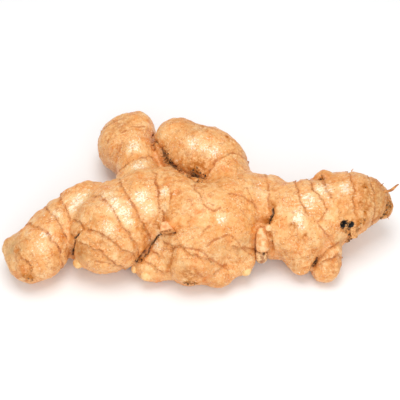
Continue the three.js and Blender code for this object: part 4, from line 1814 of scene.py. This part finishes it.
@dataclass(frozen=True)
class PlainFinish:
    """A finish of two colours in small mottles, over a slight bump, for the small pieces."""

    name: str
    light: Colour
    dark: Colour
    mottle: float
    relief: float
    roughness: float

    def material(self) -> bpy.types.Material:
        """Make the material.

        Returns:
            The material.
        """
        sheet = ShaderSheet(self.name)
        place = sheet.place()
        mottle = sheet.noise(place, self.mottle, 3, 0.6)
        fine = sheet.noise(place, self.mottle / 4, 2)
        return sheet.finish(
            Base_Color=sheet.mix(mottle.rise(0.38, 0.62), self.light, self.dark),
            Roughness=self.roughness + 0.2 * (fine - 0.5),
            Normal=sheet.bump(self.relief * (mottle + 0.5 * fine)),
            Subsurface_Weight=0.1,
            Subsurface_Radius=(1.0, 0.5, 0.25),
            Subsurface_Scale=MM,
        )


BUD_FINISH = PlainFinish("bud_flesh", paint(249, 208, 144), paint(236, 176, 104), 3.0, 0.05, 0.4)
SHEATH_FINISH = PlainFinish("bud_sheath", paint(250, 204, 150), paint(228, 158, 94), 2.4, 0.1, 0.45)
TIP_FINISH = PlainFinish("bud_tip", paint(246, 204, 150), paint(170, 108, 62), 2.6, 0.05, 0.45)
DRY_FINISH = PlainFinish("dry_root", paint(224, 158, 92), paint(166, 100, 50), 1.2, 0.15, 0.6)
SHRED_FINISH = PlainFinish("dry_shreds", paint(236, 176, 112), paint(186, 118, 60), 0.9, 0.05, 0.6)
CRUMB_FINISH = PlainFinish("soil_crumbs", paint(196, 140, 84), paint(50, 30, 15), 1.6, 0.1, 0.8)
JOINT_FINISH = PlainFinish("bud_joint", paint(214, 156, 98), paint(96, 60, 30), 1.8, 0.1, 0.6)
HAIR_FINISH = PlainFinish("root_hairs", paint(150, 98, 50), paint(84, 52, 26), 1.2, 0.02, 0.6)
LEAF_FINISH = PlainFinish("leaf_base", paint(250, 192, 134), paint(228, 150, 94), 1.6, 0.08, 0.5)


def dress(piece: bpy.types.Object, finish: SkinFinish | PlainFinish) -> None:
    """Give a piece its finish, and let it ride on the part.

    Args:
        piece: The piece.
        finish: Its finish.
    """
    piece.data.materials.clear()
    piece.data.materials.append(finish.material())
    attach(piece, BODY)
    LOG.info("%s: %d points", piece.name, len(piece.data.vertices))


# ------------------------------------------------------------------ small pieces


@dataclass(frozen=True)
class Sprout:
    """A bud, a shoot or a rootlet, swept along a line of x, y, z and radius."""

    name: str
    finish: PlainFinish
    line: Line
    sides: int = 10
    levels: int = 2

    def build(self) -> None:
        """Make and dress the sprout."""
        piece = swept(self.name, self.line, self.sides)
        rounded(piece, self.levels)
        dress(piece, self.finish)


BUDS = {
    "left_finger_bud": [
        (-50.5, -32, 11, 2), (-52.5, -34.2, 10.6, 3), (-54.5, -36.2, 10, 2.9), (-56.3, -37.8, 9.2, 1.7),
    ],
    "small_bud": [(-29, -36, 9, 1.3), (-29.5, -38, 8, 1.7), (-29.6, -39.8, 7, 0.9)],
    "front_left_bud": [
        (-23, -37.6, 10, 2.2), (-23.5, -40.4, 8.4, 3.2), (-24, -42.2, 7, 2.7), (-24.2, -43.5, 6.2, 1.3),
    ],
    "front_right_bud": [
        (19.6, -35.6, 10, 2.2), (20.1, -38.2, 9, 3.2), (20.6, -40.1, 8, 2.7), (20.8, -41.4, 7.3, 1.3),
    ],
}  # fmt: skip

CLEFT_SHOOT = [
    (27.1, -27.8, 24.9, 1.4), (27, -28.7, 23, 2), (27.3, -30, 20.4, 2.7), (27.8, -31.4, 18, 3.3),
    (28, -32.3, 15.8, 3.4), (27.9, -32.8, 14.6, 2.7),
]  # fmt: skip
CLEFT_SHOOT_TIP = [
    (27.7, -32.5, 14.2, 2.6), (27.6, -33.1, 12.7, 3.1), (27.6, -33.6, 11.1, 3.1), (27.6, -33.9, 9.4, 2.6),
    (27.6, -34.1, 7.9, 1.4),
]  # fmt: skip
CLEFT_SHOOT_JOINT = [(28.6, -32.2, 14.9, 2.2), (27.8, -32.7, 14, 2.85), (26.9, -32.7, 13.5, 2.4)]
RIGHT_BEAD = [(30.5, -27.6, 27.2, 0.9), (30.4, -28.7, 26, 1.9), (30.2, -29.5, 24.6, 1.4)]

ROOTLETS = {
    "dry_rootlet": [
        (82.6, -7.4, 24.8, 1.2), (84.6, -7.5, 26, 0.8), (86.2, -7.8, 26.6, 0.7), (87.3, -7.6, 27.6, 0.85),
        (88.3, -7.2, 28.9, 0.6), (89.1, -7.3, 30.2, 0.5), (89.6, -7.5, 30.9, 0.2),
    ],
    "upper_bristle": [(82, -4.8, 26, 0.4), (82.8, -4.9, 27.8, 0.25), (83.3, -5.2, 29.2, 0.1)],
    "second_bristle": [(80.6, -3.4, 27.4, 0.35), (80.4, -3.2, 28.8, 0.2), (79.8, -3.3, 29.9, 0.08)],
    "lower_bristle": [(84, -9.6, 25.2, 0.45), (85.6, -9.8, 24.4, 0.3), (87, -10, 23.4, 0.1)],
    "tip_bristle": [(84.2, -15.2, 18.6, 0.4), (85.4, -16, 17.6, 0.25), (86, -16.8, 16.9, 0.1)],
    "fringe_bristle": [(69, 1.5, 29.2, 0.4), (69.5, 1.8, 30, 0.25), (69.9, 2, 30.7, 0.1)],
}  # fmt: skip
ROOTLET_SIDES = 6

SPROUTS = [
    *(Sprout(name, BUD_FINISH, line) for name, line in BUDS.items()),
    Sprout("cleft_shoot", SHEATH_FINISH, CLEFT_SHOOT),
    Sprout("right_bead", SHEATH_FINISH, RIGHT_BEAD),
    Sprout("cleft_shoot_tip", TIP_FINISH, CLEFT_SHOOT_TIP),
    Sprout("cleft_shoot_joint", JOINT_FINISH, CLEFT_SHOOT_JOINT),
    *(Sprout(name, DRY_FINISH, line, ROOTLET_SIDES) for name, line in ROOTLETS.items()),
]


@dataclass
class LeafWedge:
    """The stump of an old leaf's base: a block, thin at one end, that stands in the crease."""

    place: Point = (-14.35, -31.95, 30.8)
    onward: Point = (0.934, -0.068, 0.352)
    outward: Point = (-0.357, -0.246, 0.9)
    half_size: Point = (3.1, 2.1, 1.3)
    narrow_side: float = 0.42
    shift: float = -0.27
    top_share: float = 0.94
    edge: float = 0.08
    uneven: float = 0.025
    lift: float = 0.25
    # The foot is a darker copy of the block set a little back and down; its edge below the wedge is painted
    # shade and soil.
    foot_back: float = 0.22
    foot_drop: float = 0.5

    def build(self) -> None:
        """Make and dress the wedge, and the darker foot under it that stands for soil and painted shade."""
        onward, outward = unit(np.array(self.onward)), np.array(self.outward)
        outward = unit(outward - (outward @ onward) * onward)
        axes = np.stack([onward, np.cross(outward, onward), outward]) * np.array(self.half_size)[:, None]
        top = np.array(self.place) + self.lift * outward
        foot = top - self.foot_back * axes[1] - self.foot_drop * axes[2]
        for name, middle, finish in (("leaf_wedge", top, LEAF_FINISH), ("leaf_wedge_shaded_foot", foot, DRY_FINISH)):
            piece = copies_of(self.block(), [np.vstack([axes, middle])], name)
            rounded(piece, 1)
            dress(piece, finish)

    def block(self) -> bpy.types.Object:
        """Model the block in its own frame, from -1 to 1 along each axis.

        Returns:
            The block.
        """
        deselect()
        bpy.ops.mesh.primitive_cube_add(size=2)
        wedge = name_active("wedge")
        self.shape(wedge, lambda x, y, z: y > 0, (self.narrow_side, 1, 1), self.shift)
        self.shape(wedge, lambda x, y, z: z > 0, (self.top_share, self.top_share, 1), 0)
        bpy.ops.object.mode_set(mode="EDIT")
        bpy.ops.mesh.select_all(action="SELECT")
        bpy.ops.mesh.bevel(offset=self.edge, segments=2)
        bpy.ops.mesh.subdivide(number_cuts=2)
        bpy.ops.transform.vertex_random(offset=self.uneven, seed=4)
        bpy.ops.object.mode_set(mode="OBJECT")
        return wedge

    @staticmethod
    def shape(
        piece: bpy.types.Object, test: Callable[[float, float, float], bool], size: Point, shift: float
    ) -> None:
        """Resize the corners that pass a test about their own middle, and shift them.

        Args:
            piece: The piece.
            test: What a corner's place must pass.
            size: The scale along each axis.
            shift: How far they move along X.
        """
        bpy.ops.object.mode_set(mode="EDIT")
        bpy.ops.mesh.select_all(action="DESELECT")
        bpy.ops.object.mode_set(mode="OBJECT")
        for point in piece.data.vertices:
            point.select = test(*point.co)
        bpy.ops.object.mode_set(mode="EDIT")
        bpy.ops.transform.resize(value=size)
        bpy.ops.transform.translate(value=(shift, 0, 0))
        bpy.ops.object.mode_set(mode="OBJECT")


@dataclass
class CurledScale:
    """A dry scale that curls off the underside of the right end."""

    place: Point = (68.6, -25.2, 18.4)
    across: Point = (0.75, -0.35, 0.45)
    outward: Point = (-0.1, -0.8, 0.6)
    width: float = 4.6
    length: float = 5.5
    thickness: float = 0.3
    uneven: float = 0.02
    curl: float = 150.0

    def build(self) -> None:
        """Make and dress the scale."""
        deselect()
        bpy.ops.mesh.primitive_grid_add(x_subdivisions=10, y_subdivisions=8, size=1)
        grid = name_active("scale")
        bpy.ops.object.mode_set(mode="EDIT")
        bpy.ops.mesh.select_all(action="SELECT")
        bpy.ops.transform.vertex_random(offset=self.uneven, seed=9)
        bpy.ops.object.mode_set(mode="OBJECT")
        bpy.ops.object.modifier_add(type="SOLIDIFY")
        grid.modifiers[-1].thickness = self.thickness / self.width
        bpy.ops.object.modifier_apply(modifier=grid.modifiers[-1].name)
        bpy.ops.object.modifier_add(type="SIMPLE_DEFORM")
        bend = grid.modifiers[-1]
        bend.deform_method, bend.deform_axis, bend.angle = "BEND", "Y", math.radians(self.curl)
        bpy.ops.object.modifier_apply(modifier=bend.name)
        across, outward = unit(np.array(self.across)), np.array(self.outward)
        outward = unit(outward - (outward @ across) * across)
        axes = np.stack([across * self.width, np.cross(outward, across) * self.length, outward * self.width])
        piece = copies_of(grid, [np.vstack([axes, self.place])], "curled_scale")
        rounded(piece, 1)
        dress(piece, SHRED_FINISH)


@dataclass
class Litter:
    """What lies loose on the skin: papery shreds along the rings, and crumbs and root hairs in the soil.

    Pairs of numbers are the least and the greatest of a random draw, but for shred_root, which is how far a
    shred is sunk in the skin and set back from its ring. The heights are the lowest that a piece may lie at.
    """

    skin: SkinFacts
    shreds: int = 240
    shred_height: float = 2.0
    shred_edge: float = 0.4
    shred_fullness: float = 0.6
    shred_turn: float = 0.35
    shred_length: tuple[float, float] = (0.6, 1.4)
    shred_width: tuple[float, float] = (0.6, 1.2)
    shred_lift: float = 0.6
    shred_root: tuple[float, float] = (0.12, 0.3)
    crumbs: int = 260
    crumb_height: float = 3.0
    least_soil: float = 0.45
    crumb_radius: tuple[float, float] = (0.22, 0.55)
    crumb_stretch: tuple[float, float] = (0.7, 1.3)
    hairs: int = 70
    hair_middle: float = -8.0
    hair_reach: float = 14.0
    hair_front: float = -12.0
    hair_lean: float = 0.6
    hair_length: tuple[float, float] = (1.2, 3.2)
    hair_root: float = 0.2

    def __post_init__(self) -> None:
        """Start the random draw that all the litter shares."""
        self.draw = np.random.default_rng(Seed.LITTER)

    def build(self) -> None:
        """Make and dress the shreds, the crumbs and the hairs."""
        skin = self.skin
        x, y, z = skin.points.T
        edge = (np.abs(skin.beyond) < self.shred_edge) & (skin.fullness > self.shred_fullness)
        dirty = (skin.soil > self.least_soil) & (z > self.crumb_height)
        seam = dirty & (np.abs(x - self.hair_middle) < self.hair_reach) & (y > self.hair_front)
        chosen = self.pick(edge & (z > self.shred_height), self.shreds)
        dress(copies_of(self.blade(), [self.shred_frame(at) for at in chosen], "shreds"), SHRED_FINISH)
        chosen = self.pick(dirty, self.crumbs)
        dress(copies_of(self.lump(), [self.crumb_frame(at) for at in chosen], "crumbs"), CRUMB_FINISH)
        chosen = self.pick(seam, self.hairs)
        dress(copies_of(self.hair(), [self.hair_frame(at) for at in chosen], "root_hairs"), HAIR_FINISH)

    def pick(self, where: np.ndarray, count: int) -> np.ndarray:
        """Pick some of the skin's points at random.

        Args:
            where: Whether each point may be picked.
            count: How many are picked at most.

        Returns:
            The numbers of the picked points.
        """
        among = np.flatnonzero(where)
        return self.draw.choice(among, min(count, len(among)), replace=False)

    @staticmethod
    def blade() -> bpy.types.Object:
        """Model one shred: a thin strip that narrows and curls up towards its tip, one unit long.

        Returns:
            The shred.
        """
        deselect()
        bpy.ops.mesh.primitive_plane_add(size=1, rotation=(math.pi / 2, 0, 0))
        blade = name_active("shred")
        bpy.ops.object.transform_apply(location=True, rotation=True, scale=True)
        bpy.ops.object.mode_set(mode="EDIT")
        bpy.ops.mesh.select_all(action="SELECT")
        bpy.ops.transform.resize(value=(1, 1, 0.14))
        steps = (((0.03, 0.35, 0.03), 0.85), ((-0.05, 0.35, 0.12), 0.7), ((0.06, 0.3, 0.22), 0.3))
        for step, narrow in steps:
            bpy.ops.mesh.extrude_region_move(TRANSFORM_OT_translate={"value": step})
            bpy.ops.transform.resize(value=(narrow, 1, 0.8))
        bpy.ops.mesh.select_all(action="DESELECT")
        bpy.ops.mesh.select_non_manifold()
        bpy.ops.mesh.edge_face_add()
        bpy.ops.mesh.select_all(action="SELECT")
        bpy.ops.mesh.normals_make_consistent(inside=False)
        bpy.ops.object.mode_set(mode="OBJECT")
        return blade

    @staticmethod
    def lump() -> bpy.types.Object:
        """Model one crumb: an uneven ball of one unit's radius.

        Returns:
            The crumb.
        """
        deselect()
        bpy.ops.mesh.primitive_cube_add(size=1.5)
        lump = name_active("crumb")
        bpy.ops.object.mode_set(mode="EDIT")
        bpy.ops.mesh.select_all(action="SELECT")
        bpy.ops.mesh.subdivide(number_cuts=1)
        bpy.ops.transform.tosphere(value=0.8)
        bpy.ops.transform.vertex_random(offset=0.16, seed=2)
        bpy.ops.object.mode_set(mode="OBJECT")
        return lump

    @staticmethod
    def hair() -> bpy.types.Object:
        """Model one root hair: a thin bent line, one unit long.

        Returns:
            The hair.
        """
        line = [(0, 0, 0, 0.05), (0.06, 0.1, 0.35, 0.045), (0.2, 0.14, 0.7, 0.035), (0.42, 0.1, 1, 0.015)]
        return swept("hair", [tuple(part / MM for part in station) for station in line], 4)

    def shred_frame(self, at: int) -> np.ndarray:
        """Place a shred on the edge of a ring, pointing onward over it.

        Args:
            at: The number of the skin's point that it stands on.

        Returns:
            Its three axes, scaled, and its place.
        """
        outward = self.skin.facing[at]
        onward = unit(self.skin.onward[at] + self.draw.normal(0, self.shred_turn, 3))
        onward = unit(onward - (onward @ outward) * outward)
        length, width = self.draw.uniform(*self.shred_length), self.draw.uniform(*self.shred_width)
        lift = outward * length * self.shred_lift
        axes = np.stack([np.cross(onward, outward) * width, onward * length, lift])
        sunk, back = self.shred_root
        return np.vstack([axes, self.skin.points[at] - sunk * outward - back * onward])

    def crumb_frame(self, at: int) -> np.ndarray:
        """Place a crumb, turned and stretched at random.

        Args:
            at: The number of the skin's point that it lies on.

        Returns:
            Its three axes, scaled, and its place.
        """
        turned, _ = np.linalg.qr(self.draw.normal(size=(3, 3)))
        turned *= np.sign(np.linalg.det(turned))
        radius = self.draw.uniform(*self.crumb_radius)
        stretched = turned * radius * self.draw.uniform(*self.crumb_stretch, (3, 1))
        return np.vstack([stretched, self.skin.points[at]])

    def hair_frame(self, at: int) -> np.ndarray:
        """Place a root hair, leaning at random.

        Args:
            at: The number of the skin's point that it grows from.

        Returns:
            Its three axes, scaled, and its place.
        """
        outward = unit(self.skin.facing[at] + self.draw.normal(0, self.hair_lean, 3))
        side = unit(np.cross(outward, self.draw.normal(size=3)))
        axes = np.stack([side, np.cross(outward, side), outward]) * self.draw.uniform(*self.hair_length)
        return np.vstack([axes, self.skin.points[at] - self.hair_root * self.skin.facing[at]])


# ------------------------------------------------------------------ the studio


@dataclass(frozen=True)
class Lamp:
    """A square soft light; its place, what it points at and its size are in metres."""

    name: str
    place: Point
    aim: Point
    size: float
    power: float


@dataclass
class Studio:
    """A pale floor, soft light from above and the camera."""

    floor_size: float = 3.0
    azimuth: float = 0.0
    elevation: float = 50.0
    lens: float = 100.0
    sensor: float = 36.0
    view_width: float = 0.184
    target: Point = (0.0, -0.006, 0.018)
    sky: float = 0.6
    floor_grey: float = 0.93
    lamps: tuple[Lamp, ...] = (
        Lamp("top_light", (-0.02, 0.02, 0.55), (0.0, -0.01, 0.0), 0.34, 1.48),
        Lamp("front_light", (0.15, -0.6, 0.45), (0.0, 0.0, 0.01), 0.6, 1.98),
    )

    def build(self) -> None:
        """Make the floor, the lights and the camera."""
        self.floor()
        self.world()
        for lamp in self.lamps:
            self.light(lamp)
        self.camera()

    def floor(self) -> None:
        """Lay the floor."""
        deselect()
        bpy.ops.mesh.primitive_plane_add(size=self.floor_size)
        floor = name_active("floor")
        sheet = ShaderSheet("floor")
        floor.data.materials.append(sheet.finish(Base_Color=(self.floor_grey,) * 3, Roughness=0.8))

    def world(self) -> None:
        """Light the scene evenly from all round."""
        world = bpy.data.worlds.new("studio")
        world.use_nodes = True
        sky = world.node_tree.nodes["Background"]
        sky.inputs["Color"].default_value = (1, 1, 1, 1)
        sky.inputs["Strength"].default_value = self.sky
        bpy.context.scene.world = world

    def light(self, lamp: Lamp) -> None:
        """Hang a light.

        Args:
            lamp: The light.
        """
        data = bpy.data.lights.new(lamp.name, "AREA")
        data.size, data.energy = lamp.size, lamp.power
        hung = bpy.data.objects.new(lamp.name, data)
        bpy.context.scene.collection.objects.link(hung)
        self.point_at(hung, lamp.place, lamp.aim)

    def camera(self) -> None:
        """Set the camera."""
        data = bpy.data.cameras.new("camera")
        data.lens, data.sensor_width = self.lens, self.sensor
        eye = bpy.data.objects.new("camera", data)
        bpy.context.scene.collection.objects.link(eye)
        turn, rise = math.radians(self.azimuth), math.radians(self.elevation)
        level = math.cos(rise)
        back = np.array([math.sin(turn) * level, -math.cos(turn) * level, math.sin(rise)])
        place = np.array(self.target) + back * self.view_width * self.lens / self.sensor
        self.point_at(eye, tuple(place), self.target)
        bpy.context.scene.camera = eye

    @staticmethod
    def point_at(thing: bpy.types.Object, place: Point, aim: Point) -> None:
        """Put a light or a camera in its place and point it.

        Args:
            thing: The light or the camera.
            place: Its place.
            aim: What it points at.
        """
        thing.location = place
        thing.rotation_mode = "QUATERNION"
        thing.rotation_quaternion = (Vector(aim) - Vector(place)).to_track_quat("-Z", "Y")


def main() -> None:
    """Build and dress the ginger."""
    logging.basicConfig(level=logging.INFO, format="%(asctime)s %(name)s %(message)s")
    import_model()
    deselect()
    bpy.context.scene.view_settings.view_transform = "Standard"
    Studio().build()
    facts = RhizomeSkin(Rhizome(ginger_limbs())).build()
    for sprout in SPROUTS:
        sprout.build()
    LeafWedge().build()
    CurledScale().build()
    Litter(facts).build()


if __name__ == "__main__":
    main()
